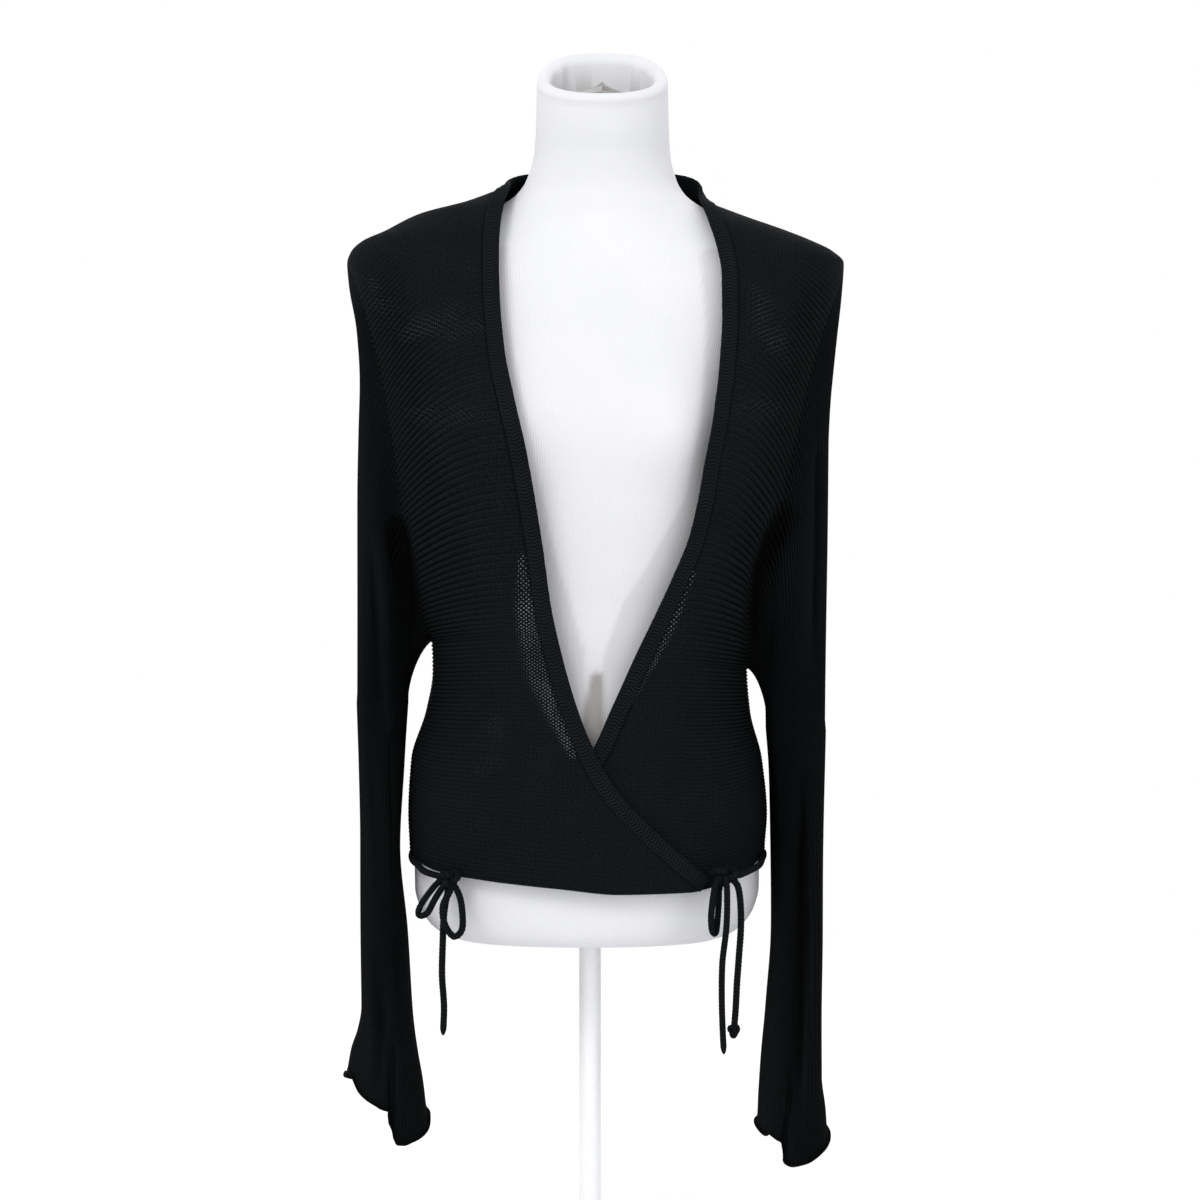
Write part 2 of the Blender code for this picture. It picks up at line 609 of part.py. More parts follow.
def pull_in(layer, sides):
    """Moves the named borders of a grid inwards along its surface by half of the seam's gap."""
    moved = layer.copy()
    steps = {"first_row": (0, 1, 0), "last_row": (-1, -2, 0), "first_col": (0, 1, 1),
             "last_col": (-1, -2, 1)}
    for side in sides:
        at, towards, axis = steps[side]
        border, inside = np.take(moved, at, axis), np.take(moved, towards, axis)
        way = inside - border
        way /= np.maximum(np.linalg.norm(way, axis=-1), 1e-9)[..., None]
        new = border + way * SEAM / 2
        if axis == 0:
            moved[at] = new
        else:
            moved[:, at] = new
    return moved


def add_mesh(name, points, faces, material):
    """A named object in the cardigan's collection, made of points and faces."""
    mesh = bpy.data.meshes.new(name)
    mesh.from_pydata([tuple(p) for p in points], [], [tuple(f) for f in faces])
    mesh.materials.append(material)
    mesh.shade_smooth()
    mesh.set_sharp_from_angle(angle=math.radians(50))
    thing = bpy.data.objects.new(name, mesh)
    COLLECTION.objects.link(thing)
    return thing


def cloth(name, outer, normals, closed, seams, material):
    """A wall of knit: an outer face, an inner face one wall below it, and the rims between."""
    inner = outer - normals * WALL
    outer, inner = pull_in(outer, seams), pull_in(inner, seams)
    rows_n, cols_n = outer.shape[:2]
    points = np.concatenate([outer.reshape(-1, 3), inner.reshape(-1, 3)])
    size = rows_n * cols_n
    faces = []
    last = cols_n if closed else cols_n - 1
    for i in range(rows_n - 1):
        for j in range(last):
            k = (j + 1) % cols_n
            a, b = i * cols_n + j, i * cols_n + k
            c, d = b + cols_n, a + cols_n
            faces += [(a, b, c, d), (size + d, size + c, size + b, size + a)]
    rims = [[i for i in range(cols_n)], [size - cols_n + i for i in range(cols_n)][::-1]]
    if closed:
        loops = [rim + rim[:1] for rim in rims]
    else:
        left = [i * cols_n for i in range(rows_n)][::-1]
        right = [i * cols_n + cols_n - 1 for i in range(rows_n)]
        loops = [rims[0], right, rims[1], left]
    for loop in loops:
        for a, b in zip(loop[:-1], loop[1:]):
            faces.append((a, size + a, size + b, b))
    return add_mesh(name, points, faces, material)


def loft(name, sections, material):
    """A closed solid through sections of equal point counts, with flat ends."""
    sections = np.array(sections)
    rows_n, cols_n = sections.shape[:2]
    faces = []
    for i in range(rows_n - 1):
        for j in range(cols_n):
            k = (j + 1) % cols_n
            a, b = i * cols_n + j, i * cols_n + k
            faces.append((a, b, b + cols_n, a + cols_n))
    faces.append(tuple(range(cols_n))[::-1])
    faces.append(tuple((rows_n - 1) * cols_n + j for j in range(cols_n)))
    return add_mesh(name, sections.reshape(-1, 3), faces, material)


# ---------------------------------------------------------------- materials
def material(name, colour, roughness, metallic=0.0):
    """A plain finish: the looks of the knit and the jersey are made elsewhere."""
    made = bpy.data.materials.new(name)
    made.use_nodes = True
    shader = made.node_tree.nodes["Principled BSDF"]
    shader.inputs["Base Color"].default_value = (*colour, 1.0)
    shader.inputs["Roughness"].default_value = roughness
    shader.inputs["Metallic"].default_value = metallic
    return made


for old in list(bpy.data.objects):
    bpy.data.objects.remove(old)

COLLECTION = bpy.data.collections.new("wrap_cardigan_on_dress_form")
bpy.context.scene.collection.children.link(COLLECTION)

KNIT = material("black knit", (0.006, 0.007, 0.008), 0.9)
JERSEY = material("white jersey", (0.80, 0.81, 0.83), 0.85)
PAINT = material("white painted metal", (0.78, 0.79, 0.80), 0.4)


# ---------------------------------------------------------------- the cardigan's panels
def build_panels():
    """The two fronts, the back and the two sleeves. Returns what the bands need."""
    fronts = {side: front_panel(side) for side in SIGN}
    back = back_panel(fronts["right"], fronts["left"])
    hole_rows = slice(LOWER_ROWS, None)
    sleeves = {
        "right": sleeve_surface("right", fronts["right"][hole_rows, -1], back[hole_rows, 0]),
        "left": sleeve_surface("left", fronts["left"][hole_rows, -1], back[hole_rows, -1]),
    }
    # Each grid is turned so that its columns run anticlockwise round the body, seen from above.
    grids = {
        "front_right": (fronts["right"][:, ::-1], False),
        "front_left": (fronts["left"], False),
        "back": (back[:, ::-1], False),
        "sleeve_right": (sleeves["right"][::-1, ::-1], True),
        "sleeve_left": (sleeves["left"][::-1], True),
    }
    normals = shared_normals(grids)
    seams = {
        "front_right": ("first_col", "last_row"),
        "front_left": ("last_col", "last_row"),
        "back": ("first_col", "last_col", "last_row"),
        "sleeve_right": ("last_row",),
        "sleeve_left": ("last_row",),
    }
    for name, (grid, closed) in grids.items():
        cloth(name, grid, normals[name], closed, seams[name], KNIT)
    return grids, normals


# ---------------------------------------------------------------- the neckband
def band_frames(grids, normals):
    """Along the whole front edge, hem to neck to hem: edge points, directions and normals."""
    right, left = grids["front_right"][0], grids["front_left"][0]
    back = grids["back"][0][:, ::-1]
    behind = slice(FRONT_COLUMNS + 1, FRONT_COLUMNS + NECK_COLUMNS)
    neck = back[-1, behind]
    upright = neck - back[-2, behind]
    upright /= np.linalg.norm(upright, axis=1)[:, None]
    upright[:, 2] += BAND_STAND
    points = np.concatenate([right[:, -1], neck, left[::-1, 0]])
    over = np.concatenate([right[:, -1] - right[:, -2], neck * 0, (left[:, 0] - left[:, 1])[::-1]])
    around = neck - np.array([neck[:, 0].mean(), 0.0, 0.0])
    around[:, 2] = 0.0
    around /= np.linalg.norm(around, axis=1)[:, None]
    count = len(right)
    over[count : count + len(neck)] = upright
    faces = np.concatenate([normals["front_right"][:, -1], around, normals["front_left"][::-1, 0]])
    over /= np.linalg.norm(over, axis=1)[:, None]
    for at in (count - 1, count + len(neck)):
        over[at] = (over[at - 1] + over[at + 1]) / 2
        faces[at] = (faces[at - 1] + faces[at + 1]) / 2
    for _ in range(2):
        over[1:-1] = (over[:-2] + 2 * over[1:-1] + over[2:]) / 4
    along = np.gradient(points, axis=0)
    along /= np.linalg.norm(along, axis=1)[:, None]
    over -= along * (over * along).sum(1)[:, None]
    over /= np.linalg.norm(over, axis=1)[:, None]
    out = np.cross(along, over)
    out *= np.sign((out * faces).sum(1))[:, None]
    return points, over, out, count


def band_section(point, over, out):
    """One cross-section of the band: a flat strip with round edges beside the panel's edge."""
    half = BAND_WIDTH / 2
    centre = point + over * (SEAM + half) - out * (WALL / 2)
    outline = [(-1, -0.35), (-0.8, -1), (0.0, -1.0), (0.8, -1), (1, -0.35),
               (1, 0.35), (0.8, 1), (0.0, 1.15), (-0.8, 1), (-1, 0.35)]
    return [centre + over * half * a + out * BAND_HALF * b for a, b in outline]


def build_bands(grids, normals):
    points, over, out, count = band_frames(grids, normals)
    stops = {"neckband_right": (0, count), "neckband_back": (count - 1, len(points) - count + 1),
             "neckband_left": (len(points) - count, len(points))}
    for name, (first, last) in stops.items():
        sections = [band_section(points[i], over[i], out[i]) for i in range(first, last)]
        for end, near in ((0, 1), (-1, -2)):
            if name != "neckband_back" and end == (0 if name == "neckband_right" else -1):
                continue
            way = np.array(sections[near]).mean(0) - np.array(sections[end]).mean(0)
            way *= SEAM / np.linalg.norm(way)
            sections[end] = [p + way for p in sections[end]]
        solid = loft(name, sections, KNIT)
        face_out(solid)


def face_out(solid):
    """Turns every face of a solid outwards."""
    shape = bmesh.new()
    shape.from_mesh(solid.data)
    bmesh.ops.recalc_face_normals(shape, faces=shape.faces)
    shape.to_mesh(solid.data)
    shape.free()


# ---------------------------------------------------------------- the ties
def smooth_line(points, spacing):
    """Points at even steps on a smooth curve through a route's own points."""
    points = np.array(points, float)
    ends = np.concatenate([[2 * points[0] - points[1]], points, [2 * points[-1] - points[-2]]])
    fine = []
    for i in range(1, len(ends) - 2):
        a, b, c, d = ends[i - 1 : i + 3]
        for t in np.linspace(0, 1, 12, endpoint=False):
            fine.append(0.5 * (2 * b + (c - a) * t + (2 * a - 5 * b + 4 * c - d) * t * t
                               + (3 * b - a - 3 * c + d) * t**3))
    fine = np.array(fine + [points[-1]])
    length = np.linalg.norm(np.diff(fine, axis=0), axis=1).sum()
    return evenly(fine, max(4, round(length / spacing) + 1))


def build_ties():
    for name, route in CORDS.items():
        line = smooth_line(route, CORD_STEP)
        curve = bpy.data.curves.new(name, "CURVE")
        curve.dimensions = "3D"
        curve.bevel_depth = CORD_RADIUS
        curve.bevel_resolution = 2
        curve.use_fill_caps = True
        spline = curve.splines.new("POLY")
        spline.points.add(len(line) - 1)
        for point, place in zip(spline.points, line):
            point.co = (*place, 1.0)
        curve.materials.append(KNIT)
        COLLECTION.objects.link(bpy.data.objects.new(name, curve))
    for name, (place, size) in KNOTS.items():
        bpy.ops.mesh.primitive_uv_sphere_add(segments=14, ring_count=9, radius=1, location=place)
        knot = bpy.context.object
        knot.name = knot.data.name = name
        knot.scale = size
        bpy.ops.object.transform_apply(location=False, rotation=False, scale=True)
        knot.data.materials.append(KNIT)
        knot.data.shade_smooth()
        for owner in list(knot.users_collection):
            owner.objects.unlink(knot)
        COLLECTION.objects.link(knot)


# ---------------------------------------------------------------- the dress form and its stand
def form_ring(height, count=32, inset=0.0, drop=0.0, tilt=0.0):
    """A ring round the form at a height. Near the top it falls towards the front by tilt."""
    lean, shift = middle(height)
    half = float(read(FORM, "half_width", height)) - inset
    ring = []
    for k in range(count):
        angle = 2 * math.pi * k / count
        side, face = math.sin(angle), -math.cos(angle)
        depth = float(read(FORM, "front" if face < 0 else "back", height)) - inset
        x = half * math.copysign(abs(side) ** (2 / ROUNDNESS), side)
        y = depth * math.copysign(abs(face) ** (2 / ROUNDNESS), face)
        if face < 0:
            y -= float(bust(x, height, 0.036, 0.044, 0.016)) * abs(face)
        ring.append((x + lean, y + shift, height - drop + tilt * y))
    return ring


def build_form():
    top = float(FORM["height"][-1])
    levels = [0.300, 0.304, 0.312, 0.324, 0.340, 0.370, 0.405, 0.440, 0.475, 0.510, 0.545, 0.580,
              0.615, 0.645, 0.672, 0.698, 0.722, 0.748, 0.775, 0.802, 0.824, 0.838, 0.847, 0.855,
              0.866, 0.877, 0.888, 0.898, 0.908, 0.920]
    sections = [form_ring(level) for level in levels]
    for level in (0.940, 0.962, 0.985):
        sections.append(form_ring(level, tilt=RIM_SLOPE * (level - 0.92) / (top - 0.92)))
    lip = RECESS_WALL / 2
    for inset, drop in ((0.0, lip), (lip * 0.5, 0.0), (lip * 1.5, 0.0), (lip * 2, lip)):
        sections.append(form_ring(top, inset=inset, drop=drop, tilt=RIM_SLOPE))
    for drop in (RECESS_DEPTH / 2, RECESS_DEPTH):
        sections.append(form_ring(top, inset=2 * lip, drop=drop, tilt=RIM_SLOPE))
    face_out(loft("dress_form", sections, JERSEY))


def build_stand():
    under = float(FORM["height"][0])
    length = under - BASE_THICK - 2 * SEAM
    bpy.ops.mesh.primitive_cylinder_add(
        vertices=24, radius=POLE_RADIUS, depth=length, location=(0, 0, BASE_THICK + SEAM + length / 2)
    )
    pole = bpy.context.object
    bpy.ops.mesh.primitive_cylinder_add(
        vertices=48, radius=BASE_RADIUS, depth=BASE_THICK, location=(0, 0, BASE_THICK / 2)
    )
    base = bpy.context.object
    edge = base.modifiers.new("rounded rim", "BEVEL")
    edge.width = 0.003
    edge.segments = 2
    edge.limit_method = "ANGLE"
    for thing, name in ((pole, "stand_pole"), (base, "stand_base")):
        thing.name = thing.data.name = name
        thing.data.materials.append(PAINT)
        thing.data.shade_smooth()
        thing.data.set_sharp_from_angle(angle=math.radians(40))
        for owner in list(thing.users_collection):
            owner.objects.unlink(thing)
        COLLECTION.objects.link(thing)


panel_grids, panel_normals = build_panels()
build_bands(panel_grids, panel_normals)
build_ties()
build_form()
build_stand()
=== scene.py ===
"""A black knitted wrap cardigan with tie cords, worn by a white jersey-covered dress form.

In metres, with +Z up. The front faces -Y and the wearer's right is at -X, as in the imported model.
"""

import math

import bpy
import numpy as np
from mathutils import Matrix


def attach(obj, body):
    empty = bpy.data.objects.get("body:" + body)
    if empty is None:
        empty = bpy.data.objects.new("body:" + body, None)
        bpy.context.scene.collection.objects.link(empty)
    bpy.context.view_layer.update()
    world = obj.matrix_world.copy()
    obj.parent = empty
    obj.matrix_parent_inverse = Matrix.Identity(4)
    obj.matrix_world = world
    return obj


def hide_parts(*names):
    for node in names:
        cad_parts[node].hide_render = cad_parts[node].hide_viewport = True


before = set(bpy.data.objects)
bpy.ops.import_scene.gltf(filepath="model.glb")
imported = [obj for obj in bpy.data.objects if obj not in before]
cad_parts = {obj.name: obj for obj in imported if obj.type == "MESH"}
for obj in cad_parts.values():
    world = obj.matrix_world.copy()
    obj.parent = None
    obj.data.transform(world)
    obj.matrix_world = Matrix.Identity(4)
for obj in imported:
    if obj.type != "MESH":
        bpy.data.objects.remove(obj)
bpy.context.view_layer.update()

# ---- camera
# It stands two metres in front of the form, level, and looks at the middle of the cardigan.
# The frame is 984 mm wide at the form's middle, as in the photograph.
VIEW_DISTANCE = 2.0
VIEW_WIDTH = 0.984
SENSOR = 36.0
camera = bpy.data.objects.new("camera", bpy.data.cameras.new("camera"))
bpy.context.scene.collection.objects.link(camera)
camera.location = (0.0082, -VIEW_DISTANCE, 0.574)
camera.rotation_euler = (math.radians(90), 0, 0)
camera.data.sensor_width = SENSOR
camera.data.lens = SENSOR * VIEW_DISTANCE / VIEW_WIDTH
bpy.context.scene.camera = camera
bpy.context.scene.view_settings.view_transform = "Standard"

# ---- tie cords
# Thin tubes knitted from the cardigan's own black yarn, about 5 mm thick and limp. One leaves
# each side at the hem and is tied in a loose knot, with loops and free ends that hang down.
CORD_RADIUS = 0.0026
CORD_AROUND = 16        # points round a cord
CORD_STEP = 0.0008      # from ring to ring
YARN = "#191e21"        # the yarn's own colour, a cool near-black
STITCH_SHADE = "#080a0b"      # painted shade between the stitches
DEEP_SHADE = "#010101"  # the deepest painted shade: between two ribs and down in folds
OPEN_KNIT = "#74757c"   # the white form seen through the open stitches
HOLE_STEP = 0.003       # from one open stitch to the next along a rib
HOLES_A_RIB = 2.0
# The knots' places and sizes, and the points that each cord follows from its knot, in mm.
KNOTS = {
    "tie_knot_right": ((-109.3, -90, 356.2), (9.5, 7, 7.5)),
    "tie_knot_left": ((105, -92.5, 358.5), (12, 7.5, 8.5)),
}
CORDS = {
    "tie_run_right": (
        (-116, -83.6, 356.5), (-130, -74.5, 359.7), (-140, -59, 363), (-145.5, -43, 365),
        (-147.9, -27, 366.5), (-148.8, -9, 368.2),
    ),
    "tie_loop_right_outer": (
        (-118, -85, 353), (-127.5, -88.5, 342), (-133.5, -90, 332), (-133, -90.5, 327),
        (-127, -90.5, 329), (-121.5, -90, 339), (-116.5, -88.5, 347),
    ),
    "tie_loop_right_inner": (
        (-109, -91.3, 347), (-114.5, -94.5, 335), (-113, -96, 321), (-106, -96.5, 311.5),
        (-99.5, -96.5, 317), (-99.5, -95.5, 332), (-102.2, -92.2, 343.8),
    ),
    "tie_end_right": (
        (-110.4, -82.1, 350.4), (-114, -86, 329), (-115, -89.5, 305), (-115.5, -90, 280),
        (-114, -89.5, 256), (-114.8, -89, 233),
    ),
    "tie_run_left": (
        (116.3, -89.2, 358.3), (127, -80, 361.5), (134.5, -67, 364), (141.5, -46, 366.2),
        (144.1, -26, 367.5), (145, -6, 368.8),
    ),
    "tie_loop_left": (
        (99, -100, 354.3), (96, -104.5, 342), (94.5, -105.5, 327), (95.5, -104, 316.5),
        (98.5, -100, 315), (100, -97.5, 326), (101, -95.5, 340), (101.5, -94.5, 348.5),
    ),
    "tie_end_left_inner": (
        (106.8, -100.3, 353.2), (107, -105, 338), (106.2, -106.2, 318), (103.2, -106, 292),
        (102.8, -105.5, 264), (103.5, -105, 240), (104.5, -104.5, 221),
    ),
    "tie_end_left_outer": (
        (114.5, -96.5, 353), (117.5, -98.5, 340), (118, -99, 319), (116.5, -98.5, 296),
        (115, -98, 275), (114, -97.5, 255), (112.5, -97, 236),
    ),
}


def unit(ways):
    """The same directions, each of length one."""
    return ways / np.linalg.norm(ways, axis=-1, keepdims=True)


def length_along(points, axis=0):
    """Distance along a line, or along the lines of a grid, from the first point."""
    step = np.linalg.norm(np.diff(points, axis=axis), axis=-1)
    start = np.zeros_like(np.take(step, [0], axis))
    return np.concatenate([start, np.cumsum(step, axis=axis)], axis=axis)


def evenly(points, count):
    """The same line with count points at even steps along it."""
    along = length_along(points)
    at = np.linspace(0, along[-1], count)
    return np.stack([np.interp(at, along, points[:, k]) for k in range(3)], axis=1)


def smooth_line(points, spacing):
    """Points at even steps on a smooth curve through a route's own points."""
    points = np.array(points, float)
    ends = np.concatenate([[2 * points[0] - points[1]], points, [2 * points[-1] - points[-2]]])
    fine = []
    for i in range(1, len(ends) - 2):
        a, b, c, d = ends[i - 1 : i + 3]
        for t in np.linspace(0, 1, 12, endpoint=False):
            fine.append(0.5 * (2 * b + (c - a) * t + (2 * a - 5 * b + 4 * c - d) * t * t
                               + (3 * b - a - 3 * c + d) * t**3))
    fine = np.array(fine + [points[-1]])
    return evenly(fine, max(4, round(length_along(fine)[-1] / spacing) + 1))


def linear(colour):
    """An sRGB hex colour as the linear values that a shader takes."""
    parts = [int(colour[i : i + 2], 16) / 255 for i in (1, 3, 5)]
    return (*(c / 12.92 if c <= 0.04045 else ((c + 0.055) / 1.055) ** 2.4 for c in parts), 1.0)


def fill(tree, node, inputs):
    """Gives a node its inputs, each a value, a socket or another node's first output."""
    for name, value in inputs.items():
        if isinstance(value, bpy.types.Node):
            value = value.outputs[0]
        if isinstance(value, bpy.types.NodeSocket):
            tree.links.new(value, node.inputs[name])
        else:
            node.inputs[name].default_value = value


def add(tree, kind, settings, inputs):
    """Adds a node with its settings, its values and its links. Returns it."""
    made = tree.nodes.new("ShaderNode" + kind)
    for name, value in settings.items():
        setattr(made, name, value)
    fill(tree, made, inputs)
    return made


def new_material(name):
    """A material that is made of nodes, with its tree and its main shader."""
    made = bpy.data.materials.new(name)
    made.use_nodes = True
    return made, made.node_tree, made.node_tree.nodes["Principled BSDF"]


def grid_mesh(name, points, uv, material, closed=False, masks=None, normals=None):
    """An object whose faces join the points of a grid. Its uv is in metres or in stitches."""
    count = points.shape[0] * points.shape[1]
    number = np.arange(count).reshape(points.shape[:2])
    if closed:
        number = np.concatenate([number, number[:, :1]], axis=1)
    corners = (slice(None, -1), slice(None, -1)), (slice(None, -1), slice(1, None))
    corners += (slice(1, None), slice(1, None)), (slice(1, None), slice(None, -1))
    faces = np.stack([number[c] for c in corners], axis=-1).reshape(-1, 4)
    mesh = bpy.data.meshes.new(name)
    mesh.from_pydata(points.reshape(-1, 3), [], faces.tolist())
    places = np.stack([uv[c] for c in corners], axis=2).reshape(-1, 2)
    mesh.uv_layers.new(name="stitches").data.foreach_set("uv", places.astype("f").ravel())
    for mask, value in (masks or {}).items():
        layer = mesh.attributes.new(mask, "FLOAT", "POINT")
        layer.data.foreach_set("value", value.astype("f").ravel())
    mesh.shade_smooth()
    if normals is not None:
        mesh.normals_split_custom_set_from_vertices(normals.reshape(-1, 3).tolist())
    mesh.materials.append(material)
    made = bpy.data.objects.new(name, mesh)
    bpy.context.scene.collection.objects.link(made)
    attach(made, "root")
    return made


def tube(name, line, radius, material, around=CORD_AROUND, tip=0.0, start=0.0):
    """A round knitted cord along a line, its stitches standing out a little in two-legged Vs.
    Over the last part, tip metres long, it narrows to a point."""
    run = length_along(line)
    along = unit(np.gradient(line, axis=0))
    side = np.cross(along[0], (0.31, 0.17, 0.94))
    frames = []
    for way in along:
        side = unit(side - way * (side @ way))
        frames.append((side, np.cross(way, side)))
    frames = np.array(frames)
    turn = 2 * np.pi * np.arange(around) / around
    left = run[-1] - run
    wide = radius * np.minimum(1, np.sqrt(np.minimum(left, run + start) / radius + 0.18))
    if tip:
        wide = wide * np.clip(left / tip + 0.55, 0, 1)
    leg = np.abs(((turn / (2 * np.pi) * 4) % 1) - 0.5)
    bulge = np.sin(2 * np.pi * (run[:, None] / 0.003 + leg[None] * 1.5))
    reach = wide[:, None] * (1 + 0.075 * bulge + 0.05 * np.cos(4 * turn)[None])
    circle = np.stack([np.cos(turn), np.sin(turn)], axis=1)
    rings = line[:, None] + np.einsum("ia,kab->kib", circle, frames) * reach[..., None]
    across = np.broadcast_to(np.arange(around + 1) / around * 4, (len(line), around + 1))
    uv = np.stack([np.broadcast_to(run[:, None], across.shape), across], axis=-1)
    for share in (0.5, 0.04):
        ends = [line[k] + (rings[k] - line[k]) * share for k in (0, -1)]
        rings = np.concatenate([ends[0][None], rings, ends[1][None]])
        uv = np.concatenate([uv[:1], uv, uv[-1:]])
        line = np.concatenate([line[:1], line, line[-1:]])
    return grid_mesh(name, rings, uv, material, closed=True)


def knit_material(name, yarn, stitch, relief, ribbed):
    """Matt black yarn with a faint fuzz: small raised stitches, with shade painted between them. On
    a ribbed cloth the grooves between the ribs are painted darker still, and where it is stretched
    open the white jersey below shows through as rows of tiny dots. The dark attribute paints more
    shade."""
    made, tree, shader = new_material(name)
    place = add(tree, "SeparateXYZ", {}, {0: add(tree, "UVMap", {"uv_map": "stitches"}, {})})
    along = add(tree, "Math", {"operation": "DIVIDE"}, {0: place.outputs[0], 1: stitch})
    rows_of = add(tree, "Math", {"operation": "MULTIPLY"}, {0: place.outputs[1], 1: 2.0})
    spot = add(tree, "CombineXYZ", {}, {0: along, 1: rows_of})
    if ribbed:
        loops = add(tree, "TexVoronoi", {"voronoi_dimensions": "2D"},
                    {"Vector": spot, "Scale": 1.0, "Randomness": 0.35})
        depth = add(tree, "MapRange", {},
                    {0: loops.outputs["Distance"], 1: 0.15, 2: 0.62, 3: 1.0, 4: 0.0})
    else:
        column = add(tree, "Math", {"operation": "PINGPONG"}, {0: place.outputs[1], 1: 0.5})
        slant = add(tree, "Math", {"operation": "MULTIPLY_ADD"}, {0: column, 1: 1.3, 2: along})
        angle = add(tree, "Math", {"operation": "MULTIPLY"}, {0: slant, 1: 2 * math.pi})
        legs = add(tree, "Math", {"operation": "SINE"}, {0: angle})
        depth = add(tree, "MapRange", {}, {0: legs, 1: -0.75, 2: 0.5, 3: 0.0, 4: 1.0})
    solid = add(tree, "TexCoord", {}, {}).outputs["Object"]
    cloudy = add(tree, "TexNoise", {}, {"Vector": solid, "Scale": 40.0, "Detail": 4.0})
    fuzz = add(tree, "TexNoise", {}, {"Vector": solid, "Scale": 1400.0, "Detail": 2.0})
    shade = add(tree, "MapRange", {}, {0: cloudy, 1: 0.3, 2: 0.7, 3: 0.5, 4: 0.68})
    tall = add(tree, "Math", {"operation": "MULTIPLY"}, {0: depth, 1: shade})
    # Painted shade between the stitches: the lower a spot of a stitch, the darker its colour.
    colour = add(tree, "Mix", {"data_type": "RGBA"}, {0: tall, 6: linear(STITCH_SHADE), 7: linear(yarn)})
    if ribbed:
        # Painted shade down in the grooves between the ribs, as dark as the ribs are strong.
        row = add(tree, "Math", {"operation": "FRACT"}, {0: place.outputs[1]})
        off = add(tree, "Math", {"operation": "SUBTRACT"}, {0: row, 1: 0.5})
        off = add(tree, "Math", {"operation": "ABSOLUTE"}, {0: off})
        groove = add(tree, "MapRange", {}, {0: off, 1: 0.07, 2: 0.27, 3: 1.35, 4: 0.0})
        ribs = add(tree, "Attribute", {"attribute_name": "ribs"}, {})
        groove = add(tree, "Math", {"operation": "MULTIPLY"}, {0: groove, 1: ribs.outputs["Fac"]})
        colour = add(tree, "Mix", {"data_type": "RGBA"},
                     {0: groove, 6: colour.outputs[2], 7: linear(DEEP_SHADE)})
        stretched = add(tree, "Attribute", {"attribute_name": "stretched"}, {}).outputs["Fac"]
        flat = add(tree, "CombineXYZ", {}, {0: place.outputs[0], 1: place.outputs[1]})
        hole_at = add(tree, "VectorMath", {"operation": "MULTIPLY"},
                      {0: flat, 1: (1 / HOLE_STEP, HOLES_A_RIB, 0.0)})
        turned = add(tree, "VectorRotate", {"rotation_type": "Z_AXIS"},
                     {"Vector": hole_at, "Angle": math.radians(45)})
        holes = add(tree, "TexVoronoi", {"voronoi_dimensions": "2D"},
                    {"Vector": turned, "Scale": 1.0, "Randomness": 0.22})
        patchy = add(tree, "MapRange", {}, {0: cloudy, 1: 0.35, 2: 0.65, 3: 0.22, 4: 0.34})
        size = add(tree, "Math", {"operation": "MULTIPLY"}, {0: stretched, 1: patchy})
        inside = add(tree, "Math", {"operation": "SUBTRACT"}, {0: size, 1: holes})
        open_knit = add(tree, "MapRange", {}, {0: inside, 1: 0.0, 2: 0.16, 3: 0.0, 4: 1.0})
        colour = add(tree, "Mix", {"data_type": "RGBA"},
                     {0: open_knit, 6: colour.outputs[2], 7: linear(OPEN_KNIT)})
    # Painted shade from the dark attribute: in folds, beside the neckband, low on the sleeves and
    # in the band's groove.
    dark = add(tree, "Attribute", {"attribute_name": "dark"}, {})
    colour = add(tree, "Mix", {"data_type": "RGBA"},
                 {0: dark.outputs["Fac"], 6: colour.outputs[2], 7: linear(DEEP_SHADE)})
    fine = add(tree, "Math", {"operation": "MULTIPLY"}, {0: fuzz, 1: 0.35})
    surface = add(tree, "Math", {"operation": "ADD"}, {0: depth, 1: fine})
    bump = add(tree, "Bump", {}, {"Strength": 0.75, "Distance": relief, "Height": surface})
    rough = add(tree, "MapRange", {}, {0: fuzz, 1: 0.2, 2: 0.8, 3: 0.78, 4: 0.95})
    fill(tree, shader, {
        "Base Color": colour.outputs[2], "Normal": bump, "Roughness": rough,
        "Specular IOR Level": 0.04, "Sheen Weight": 0.008, "Sheen Roughness": 0.45,
        "Sheen Tint": linear("#9aa3ab"),
    })
    return made


# Small two-legged stitches on a thin cord, matt and nearly black.
cord_knit = knit_material("knitted cord", "#1a1d20", 0.0026, 0.0005, ribbed=False)

CORD_WORDS = {
    "tie_run_right": "object", "tie_loop_right_outer": "object", "tie_loop_right_inner": "object",
    "tie_end_right": "bare", "tie_run_left": "object", "tie_loop_left": "object",
    "tie_end_left_inner": "bare", "tie_end_left_outer": "knot",
}
KNOT_REACH = 0.022      # a cord's end this near a knot's middle goes into the knot
SIDE_FROM = 138         # past this x, in mm, the cords lie close under the hem of the sides,
SIDE_DRAWN = 0.975      # drawn in by this much
for name, route in CORDS.items():
    route = [(x / 1000 * (SIDE_DRAWN if abs(x) > SIDE_FROM else 1), y / 1000, z / 1000)
             for x, y, z in route]
    for place, _ in KNOTS.values():
        middle_point = tuple(round(part / 1000, 4) for part in place)
        if math.dist(middle_point, route[0]) < KNOT_REACH:
            route = [middle_point, *route]
        if math.dist(middle_point, route[-1]) < KNOT_REACH:
            route = [*route, middle_point]
    line = smooth_line(route, CORD_STEP)
    tip = 0.012 if CORD_WORDS[name] == "bare" else 0.0
    tie = tube(name + "_knit", line, CORD_RADIUS * 0.96, cord_knit, tip=tip)
    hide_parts(name)
    round(float(length_along(line)[-1]), 4)


def trefoil(count):
    """A closed line that winds round itself three times, as a simple knot does."""
    t = np.linspace(0, 2 * np.pi, count + 1)[:-1]
    round_x, round_z = np.sin(t) + 2 * np.sin(2 * t), np.cos(t) - 2 * np.cos(2 * t)
    return np.stack([round_x, -np.sin(3 * t), round_z], axis=1)


